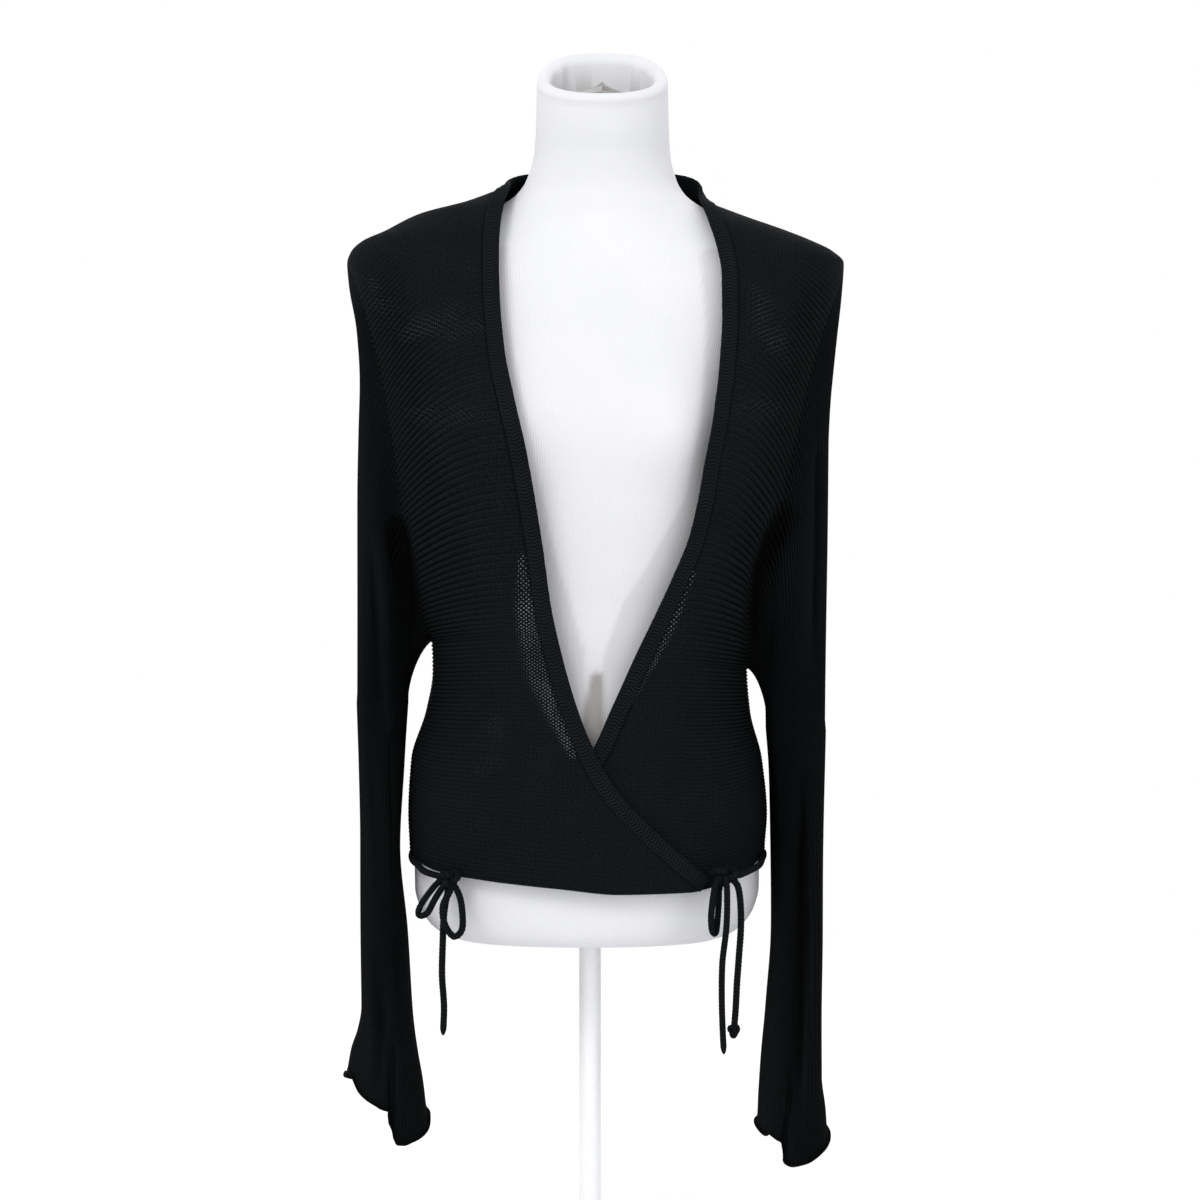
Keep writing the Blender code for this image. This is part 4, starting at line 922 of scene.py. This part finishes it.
def folded(points, normals):
    """The points of a grid pushed in along the folds and lifted a little beside them, and the shade
    painted on the yarn down in them."""
    flat, ways = points.reshape(-1, 3), normals.reshape(-1, 3)
    shift, shade = np.zeros(len(flat)), np.zeros(len(flat))
    for face, line, width, depth, beside in FOLDS:
        line, width, depth = np.array(line) / 1000, width / 1000, depth / 1000
        near, where = line_distance(flat[:, ::2], line)
        fade = np.sin(np.pi * np.clip(where, 0, 1) ** 0.8) ** 0.6
        uneven = 1 + 0.25 * np.sin(9.0 * where + 40 * line[0][0])
        facing = smooth(0.15, 0.7, face * ways[:, 1])
        raised = np.exp(-(((near - 1.9 * width) / width) ** 2))
        trough = np.exp(-((near / width) ** 2)) - beside * raised
        shift -= depth * trough * fade * uneven * facing
        deep = min(1.0, depth / 0.011) * np.exp(-((near / width / 1.15) ** 2)) * fade * facing
        shade = np.maximum(shade, 0.85 * deep)
    shift, shade = shift.reshape(points.shape[:2]), shade.reshape(points.shape[:2])
    return points + normals * shift[..., None], shade


# Where the knit is pulled open over the white form: a line seen from the front, its half width
# and how open it is.
OPENED = [
    (((-0.052, 0.606), (-0.0505, 0.57), (-0.0465, 0.5506), (-0.039, 0.514), (-0.027, 0.4868),
      (-0.013, 0.454)), 0.0175, 0.88),
    (((0.0815, 0.596), (0.064, 0.556), (0.047, 0.522), (0.032, 0.493)), 0.0085, 0.8),
    (((-0.07, 0.485), (-0.075, 0.465), (-0.085, 0.44)), 0.032, 0.37),
    (((-0.145, 0.785), (-0.115, 0.795), (-0.085, 0.785)), 0.04, 0.42),
    (((-0.175, 0.83), (-0.156, 0.79)), 0.026, 0.38),
    (((0.13, 0.82), (0.14, 0.79), (0.155, 0.765)), 0.038, 0.44),
    (((-0.14, 0.722), (-0.08, 0.715)), 0.026, 0.38),
    (((0.115, 0.722), (0.15, 0.726)), 0.024, 0.38),
]

normals = shared_normals(grids)
shades = {}
for name, grid in grids.items():
    grids[name], shades[name] = folded(grid, normals[name])
    if name.startswith("sleeve"):
        # Painted shade on the lower part of each sleeve.
        shades[name] = np.maximum(shades[name], SLEEVE_SHADE * smooth(0.62, 0.5, grid[..., 2]))
normals = shared_normals(grids)
for name, grid in grids.items():
    number = places[name][: grid.shape[0], : grid.shape[1], 1]
    groove = 0.5 - 0.5 * np.cos(2 * np.pi * number)
    grids[name] = grid - normals[name] * (RIB_DEPTH * groove * ribs[name])[..., None]
smooth_normals = normals
normals = shared_normals(grids)

# Black rib knit: matt, fuzzy, with painted shade in the grooves between the ribs and white specks
# where it is stretched over the form.
panel_knit = knit_material("black rib knit", YARN, 0.0022, 0.0006, ribbed=True)

CRISP_FROM = 0.6        # a spot that is more open than this has a clear outline


def opened(points):
    """How far the knit is pulled open at each point."""
    flat = points.reshape(-1, 3)
    found = np.zeros(len(flat))
    for line, half, amount in OPENED:
        near, where = line_distance(flat[:, ::2], line)
        taper = half * (0.35 + 0.65 * np.sin(np.pi * np.clip(where, 0.02, 0.98)))
        soft = np.exp(-((1.6 * near / taper) ** 2))
        if amount > CRISP_FROM:
            soft = smooth(1.0, 0.25, near / taper)
        found = np.maximum(found, amount * soft * (flat[:, 1] < 0.02))
    return found.reshape(points.shape[:2])


def under_band(name, points):
    """Painted shade, up to 0.7, on the last few millimetres beside the neckband, in its shadow."""
    if not name.startswith("front"):
        return np.zeros(points.shape[:2])
    from_edge = points[:, ::-1] if name == "front_right" else points
    away = length_along(from_edge, 1)
    shade = 0.7 * smooth(0.0036, 0.0014, away)
    return shade[:, ::-1] if name == "front_right" else shade


# The free rims of the hem and of the cuffs, as rows of points that roll over: the hem inwards,
# the cuffs outwards, as the edge of a plain knit does.
CUFF_ROLL = 0.0012
ROLL_STEP = 0.0008      # of the stitches on a rolled cuff, from row to row
ROLL_RIBS = 0.2         # of a rib, on a rolled hem


def rolled(points, ways, along, radius, turn, inside):
    """Rows that carry a border on round a small roll and, where it turns in, up the inner side."""
    out = ways * (-1 if inside else 1)
    found = []
    for angle in np.linspace(0, turn, 9)[1:]:
        round_by = out * (1 - math.cos(angle)) + along * math.sin(angle)
        found.append(points + radius * round_by)
    if inside:
        for up in (0.004, 0.009, 0.016):
            found.append(found[7] - along * up)
    return np.array(found)


for name, grid in grids.items():
    is_sleeve = name.startswith("sleeve")
    along = unit(grid[0] - grid[2])
    roll = (CUFF_ROLL, math.radians(200)) if is_sleeve else (WALL / 2, math.radians(180))
    extra = rolled(grid[0], smooth_normals[name][0], along, *roll, inside=not is_sleeve)
    more = len(extra)
    grid = np.concatenate([extra[::-1], grid])
    place, strength, shaded = (np.concatenate([np.repeat(kept[name][:1], more, axis=0), kept[name]])
                               for kept in (places, ribs, shades))
    steps = np.arange(more, 0, -1)[:, None]
    if is_sleeve:
        place[:more, :, 0] += steps * ROLL_STEP
    else:
        place[:more, :, 1] -= steps * ROLL_RIBS
    # Painted shade beside the neckband, joined with the painted shade of the folds and sleeves.
    shaded = np.maximum(shaded, under_band(name, grid))
    masks = {"ribs": strength, "stretched": opened(grid), "dark": shaded}
    way = np.concatenate([np.zeros_like(extra), normals[name]])
    made = grid_mesh(name + "_knit", grid, place, panel_knit, closed[name], masks, way)
    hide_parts(name)
    widest = length_along(grid, 1)[:, -1].max()
    longest = length_along(grid)[-1].max()
    flat = (round(float(widest), 3), round(float(longest), 3))

# ---- neckband
# A narrow band knitted in the other direction, sewn along both front edges and round the back of
# the neck. It is about 12 mm wide, thick and a little rolled, with columns of V-shaped stitches.
BACK_WIDER = 0.45       # how much wider the band stands up behind the neck
BAND_LAP = 0.0016       # how far the band lies over the panel's raw edge
BAND_WIDTH = 0.0135
BAND_HALF = 0.0021
BAND_STAND = 0.35       # how much more upright than the back's edge the band stands on it
BAND_STEP = 0.0007
STITCH = 0.0028         # from V to V along the band
BAND_AROUND = 28        # points round the band


def band_frames(grids, normals):
    """Along the whole front edge, hem to neck to hem: edge points, directions and normals."""
    right, left = grids["front_right"], grids["front_left"]
    back = grids["back"][:, ::-1]
    behind = slice(FRONT_COLUMNS + 1, FRONT_COLUMNS + NECK_COLUMNS)
    neck = back[-1, behind]
    upright = unit(neck - back[-2, behind])
    upright[:, 2] += BAND_STAND
    points = np.concatenate([right[:, -1], neck, left[::-1, 0]])
    over = np.concatenate([right[:, -1] - right[:, -2], neck * 0, (left[:, 0] - left[:, 1])[::-1]])
    around = neck - np.array([neck[:, 0].mean(), 0.0, 0.0])
    around = unit(around * (1.0, 1.0, 0.0))
    count = len(right)
    over[count : count + len(neck)] = upright
    faces = np.concatenate([normals["front_right"][:, -1], around, normals["front_left"][::-1, 0]])
    over = unit(over)
    for at in (count - 1, count + len(neck)):
        over[at] = (over[at - 1] + over[at + 1]) / 2
        faces[at] = (faces[at - 1] + faces[at + 1]) / 2
    for _ in range(60):
        over[1:-1] = (over[:-2] + 2 * over[1:-1] + over[2:]) / 4
    along = unit(np.gradient(points, axis=0))
    over = unit(over - along * (over * along).sum(1)[:, None])
    out = np.cross(along, over)
    out *= np.sign((out * faces).sum(1))[:, None]
    return points, over, out, count


edge_points, edge_over, edge_out, count = band_frames(grids, smooth_normals)
stops = {"neckband_right": (0, count), "neckband_back": (count - 1, len(edge_points) - count + 1),
         "neckband_left": (len(edge_points) - count, len(edge_points))}
run = length_along(edge_points)
band_knit = knit_material("black band knit", "#1c2124", STITCH, 0.0004, ribbed=False)
turn = 2 * np.pi * np.arange(BAND_AROUND) / BAND_AROUND
for name, (first, last) in stops.items():
    at = np.append(np.arange(run[first], run[last - 1], BAND_STEP), run[last - 1])
    frame_at = [np.stack([np.interp(at, run, kind[:, k]) for k in range(3)], axis=1)
                for kind in (edge_points, edge_over, edge_out)]
    point, over, out = (kind[:, None] for kind in frame_at)
    across = np.sign(np.cos(turn)) * np.abs(np.cos(turn)) ** 0.75
    thick = np.sign(np.sin(turn)) * np.abs(np.sin(turn)) ** 0.75
    crown = 1 + 0.3 * (across[None] > 0) * across[None] ** 2
    leg = np.abs(((across * 1.5 + 0.5) % 1) - 0.5)
    stitches = np.sin(2 * np.pi * (at[:, None] / STITCH + leg[None] * 1.1))
    columns = np.cos(2 * np.pi * across * 1.5)
    relief = 0.00016 * stitches + 0.00022 * columns[None]
    behind = smooth(0.01, 0.08, point[..., 1]) * (point[..., 2] > 0.88)
    half = BAND_WIDTH / 2 * (1 + BACK_WIDER * behind)
    centre = point + over * (half - BAND_LAP)[..., None] - out * (WALL / 2)
    rise = BAND_HALF * crown * thick[None] + relief * np.sign(thick)[None]
    shell = centre + over * (half * across[None])[..., None] + out * rise[..., None]
    around = np.arange(BAND_AROUND + 1)[None] / BAND_AROUND * 6
    uv = np.stack(np.broadcast_arrays(at[:, None], around), axis=-1)
    rim = 0.75 * smooth(-0.86, -0.99, across)    # painted shade in the groove beside the panel
    masks = {"dark": np.broadcast_to(rim, shell.shape[:2])}
    band = grid_mesh(name + "_knit", shell, uv, band_knit, True, masks)
    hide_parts(name)

# ---- dress form
# A padded form without arms, head or legs, covered in white cotton jersey. The jersey is tucked
# into the hollow of the neck, where it gathers in small uneven pleats.
RIM_SLOPE = 0.5
RECESS_DEPTH = 0.03
RECESS_WALL = 0.011
RIM_LIFT = 0.0065       # how much higher the rim stands behind
TUCKED = 16             # rings of the jersey that are gathered in pleats
RIM_FROM = 0.92         # the height where the neck begins to lean towards its sloping rim
FORM_AROUND = 300
form_turn = 2 * np.pi * np.arange(FORM_AROUND) / FORM_AROUND


def form_ring(height, inset=0.0, drop=0.0, tilt=0.0):
    """A ring round the form at a height. Near the top it falls towards the front by tilt."""
    lean, shift = middle(height)
    side, face = np.sin(form_turn), -np.cos(form_turn)
    half = read(FORM, "half_width", height) - inset
    depth = np.where(face < 0, read(FORM, "front", height), read(FORM, "back", height)) - inset
    x = half * np.sign(side) * np.abs(side) ** (2 / ROUNDNESS)
    y = depth * np.sign(face) * np.abs(face) ** (2 / ROUNDNESS)
    y = y - bust(x, height, *BUST_OF_FORM) * np.maximum(-face, 0)
    return np.stack([x + lean, y + shift, height - drop + tilt * y], axis=1)


# White cotton jersey: fine upright wales, matt, with shadows painted on it in a warm grey.
jersey, tree, shader = new_material("white jersey cover")
place = add(tree, "SeparateXYZ", {}, {0: add(tree, "UVMap", {"uv_map": "stitches"}, {})})
spot = add(tree, "CombineXYZ", {}, {0: place.outputs[0], 1: place.outputs[1]})
wales = add(tree, "TexWave", {"bands_direction": "X"},
            {"Vector": spot, "Scale": 190.0, "Distortion": 0.6, "Detail": 1.0})
solid = add(tree, "TexCoord", {}, {}).outputs["Object"]
cloudy = add(tree, "TexNoise", {}, {"Vector": solid, "Scale": 14.0, "Detail": 4.0})
fuzz = add(tree, "TexNoise", {}, {"Vector": solid, "Scale": 900.0})
tone = add(tree, "Mix", {"data_type": "RGBA"},
           {0: cloudy, 6: linear("#d0d1d5"), 7: linear("#dcdce0")})
# Painted shadows from the dark attribute, in a warm grey.
shaded = add(tree, "Attribute", {"attribute_name": "dark"}, {})
tone = add(tree, "Mix", {"data_type": "RGBA"},
           {0: shaded.outputs["Fac"], 6: tone.outputs[2], 7: linear("#77716a")})
fine = add(tree, "Math", {"operation": "ADD"}, {0: wales.outputs["Fac"], 1: fuzz})
bump = add(tree, "Bump", {}, {"Strength": 0.35, "Distance": 0.0003, "Height": fine})
rough = add(tree, "MapRange", {}, {0: fuzz, 3: 0.75, 4: 0.92})
fill(tree, shader, {"Base Color": tone.outputs[2], "Normal": bump, "Roughness": rough,
                    "Sheen Weight": 0.15})

top = FORM["height"][-1]
lip = RECESS_WALL / 2
levels = np.concatenate([np.linspace(0.3, 0.345, 22), np.linspace(0.345, 0.8, 90)[1:],
                         np.linspace(0.8, RIM_FROM, 60)[1:]])
rings = [form_ring(level) for level in levels]
for level in np.linspace(RIM_FROM, 0.99, 30)[1:]:
    rings.append(form_ring(level, tilt=RIM_SLOPE * (level - RIM_FROM) / (top - RIM_FROM)))
for angle in np.linspace(0, math.pi, 11):
    inset, drop = lip * (1 - math.cos(angle)), lip * (1 - math.sin(angle))
    rings.append(form_ring(top, inset, drop, RIM_SLOPE))
for drop in np.linspace(lip, RECESS_DEPTH, 10)[1:]:
    rings.append(form_ring(top, RECESS_WALL, drop, RIM_SLOPE))
rings = np.array(rings)
near_rim = smooth(0.93, 1.0, rings[..., 2]) * smooth(0.0, 0.05, rings[..., 1])
rings[..., 2] += RIM_LIFT * near_rim
pleats = np.sin(9 * form_turn + 1.7 * np.sin(3 * form_turn))
pleats *= 0.6 + 0.4 * np.sin(5 * form_turn + 1.0)
pleats = np.sign(pleats) * np.abs(pleats) ** 1.6
gather = np.concatenate([np.zeros(len(rings) - TUCKED), np.linspace(0, 1, TUCKED)])
outwards = unit((rings - rings.mean(axis=1, keepdims=True)) * (1.0, 1.0, 0.0))
rings = rings - outwards * (0.0022 * gather[:, None] * (1 - pleats[None]))[..., None]


def filled(ring, shares):
    """Smaller rings that fill a ring: the underside of the form, or the floor of its hollow."""
    heart = np.where((1, 1, 0), ring.mean(axis=0), ring)
    return [heart + (ring - heart) * share for share in shares]


inside = filled(rings[-1], (0.9, 0.6, 0.3, 0.001))
cover = np.concatenate([filled(rings[0], (0.001, 0.3, 0.6, 0.85, 0.95)), rings, inside])
round_share = np.arange(FORM_AROUND + 1)[None] / FORM_AROUND
uv = np.stack(np.broadcast_arrays(round_share * 0.8, length_along(cover)[:, :1]), axis=-1)
# Soft grey shadows of the two fronts are painted on the jersey beside their edges, seen from the
# front, with a warm painted one where they meet. Each row is a place on the edge and the
# shadow's width there.
EDGE_SHADOWS = (
    ((-0.07, 0.85, 0.005), (-0.066, 0.765, 0.006), (-0.052, 0.69, 0.007), (-0.04, 0.62, 0.009),
     (-0.033, 0.575, 0.015), (-0.022, 0.528, 0.018), (-0.011, 0.485, 0.012), (0.001, 0.458, 0.006)),
    ((0.098, 0.845, 0.009), (0.102, 0.79, 0.009), (0.096, 0.71, 0.009), (0.085, 0.65, 0.01),
     (0.062, 0.592, 0.018), (0.047, 0.562, 0.022), (0.031, 0.528, 0.019), (0.015, 0.49, 0.011),
     (0.002, 0.458, 0.005)),
)
flat = cover.reshape(-1, 3)
shadow = np.zeros(len(flat))
for rows_of in EDGE_SHADOWS:
    rows_of = np.array(rows_of)
    reach = length_along(rows_of[:, :2])
    near, where = line_distance(flat[:, ::2], rows_of[:, :2])
    wide = np.interp(where, reach / reach[-1], rows_of[:, 2])
    shadow = np.maximum(shadow, 0.2 * smooth(0.0025, -0.001, near - wide))
# A warm painted shadow where the two fronts cross.
near, where = line_distance(flat[:, ::2], ((0.006, 0.512), (0.0035, 0.49), (0.001, 0.45)))
shadow = np.maximum(shadow, 0.75 * smooth(0.009, 0.002, near - 0.008 * where))
shadow *= flat[:, 1] < 0
shadow = shadow.reshape(cover.shape[:2])
hollow = len(inside) + 9    # rings of the cover that lie inside the neck
# Painted shade inside the neck's hollow, darker further in and in the troughs of the pleats.
fall = np.linspace(0.1, 0.5, hollow)[:, None]
shadow[-hollow:] = fall + 0.3 * (pleats[None] < -0.05) * np.linspace(0, 1, hollow)[:, None]
# A painted shadow line under the front of the neck's lip.
lip_row = np.abs(cover[..., 2] - (0.972 + 0.45 * (cover[..., 1] + 0.05)))
shadow = np.maximum(shadow, 0.13 * np.exp(-((lip_row / 0.0028) ** 2)) * (cover[..., 1] < -0.01))
form = grid_mesh("dress_form_cover", cover, uv, jersey, True, {"dark": shadow})
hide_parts("dress_form")

# ---- pole and base
# A turned steel pole screwed into a round steel foot, both painted satin white.
paint, tree, shader = new_material("white satin paint")
solid = add(tree, "TexCoord", {}, {}).outputs["Object"]
grain = add(tree, "TexNoise", {}, {"Vector": solid, "Scale": 320.0, "Detail": 2.0})
tone = add(tree, "Mix", {"data_type": "RGBA"},
           {0: grain, 6: linear("#e4e5e7"), 7: linear("#f0f0f1")})
rough = add(tree, "MapRange", {}, {0: grain, 3: 0.34, 4: 0.46})
orange = add(tree, "Bump", {}, {"Strength": 0.08, "Distance": 0.0002, "Height": grain})
fill(tree, shader, {"Base Color": tone.outputs[2], "Roughness": rough, "Normal": orange})
for name in ("stand_pole", "stand_base"):
    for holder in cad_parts[name].material_slots:
        holder.material = paint

# ---- floor and light
# A plain white studio: an even white surround, a large soft light from the upper left in front,
# and a weaker one from the right.
FLOOR_AROUND = 96
floor_mesh = bpy.data.meshes.new("floor")
turn = 2 * np.pi * np.arange(FLOOR_AROUND) / FLOOR_AROUND
edge = np.stack([np.cos(turn), np.sin(turn), 0 * turn], axis=1)
reaches = (0.0005, 0.4, 0.8, 1.2, 1.8, 2.6, 3.4)
floor_mesh.from_pydata(
    np.concatenate([edge * reach for reach in reaches]) - (0, 0, 0.0005), [],
    [(k + i, k + (i + 1) % FLOOR_AROUND, k + FLOOR_AROUND + (i + 1) % FLOOR_AROUND,
      k + FLOOR_AROUND + i)
     for k in range(0, (len(reaches) - 1) * FLOOR_AROUND, FLOOR_AROUND)
     for i in range(FLOOR_AROUND)])
floor = bpy.data.objects.new("floor", floor_mesh)
bpy.context.scene.collection.objects.link(floor)
pale, tree, shader = new_material("white floor")
solid = add(tree, "TexCoord", {}, {})
distance = add(tree, "VectorMath", {"operation": "LENGTH"}, {0: solid.outputs["Object"]})
gone = add(tree, "MapRange", {"interpolation_type": "SMOOTHSTEP"},
           {0: distance.outputs["Value"], 1: 0.45, 2: 2.2, 3: 0.0, 4: 1.0})
fill(tree, shader, {"Base Color": linear("#fbfbfb"), "Roughness": 0.9})
clear = add(tree, "BsdfTransparent", {}, {})
both = add(tree, "MixShader", {}, {0: gone, 1: shader, 2: clear})
tree.links.new(both.outputs[0], tree.nodes["Material Output"].inputs["Surface"])
floor_mesh.materials.append(pale)

world = bpy.data.worlds.new("studio")
bpy.context.scene.world = world
world.use_nodes = True
world.node_tree.nodes["Background"].inputs["Color"].default_value = (1.0, 1.0, 1.0, 1.0)
world.node_tree.nodes["Background"].inputs["Strength"].default_value = 1.0

LAMPS = {
    "key_light": ((-1.3, -1.9, 2.4), 1.0, 30.0),
    "fill_light": ((1.9, -1.5, 1.3), 1.4, 7.0),
    "rear_light": ((0.6, 2.2, 2.0), 1.4, 10.0),
}
for name, (place, size, watts) in LAMPS.items():
    lamp = bpy.data.objects.new(name, bpy.data.lights.new(name, "AREA"))
    bpy.context.scene.collection.objects.link(lamp)
    lamp.location = place
    lamp.data.size = size
    lamp.data.energy = watts
    aim = np.array((0.0, 0.0, 0.6)) - np.array(place)
    down = math.atan2(math.hypot(aim[0], aim[1]), -aim[2])
    lamp.rotation_euler = (down, 0, math.atan2(-aim[0], aim[1]))
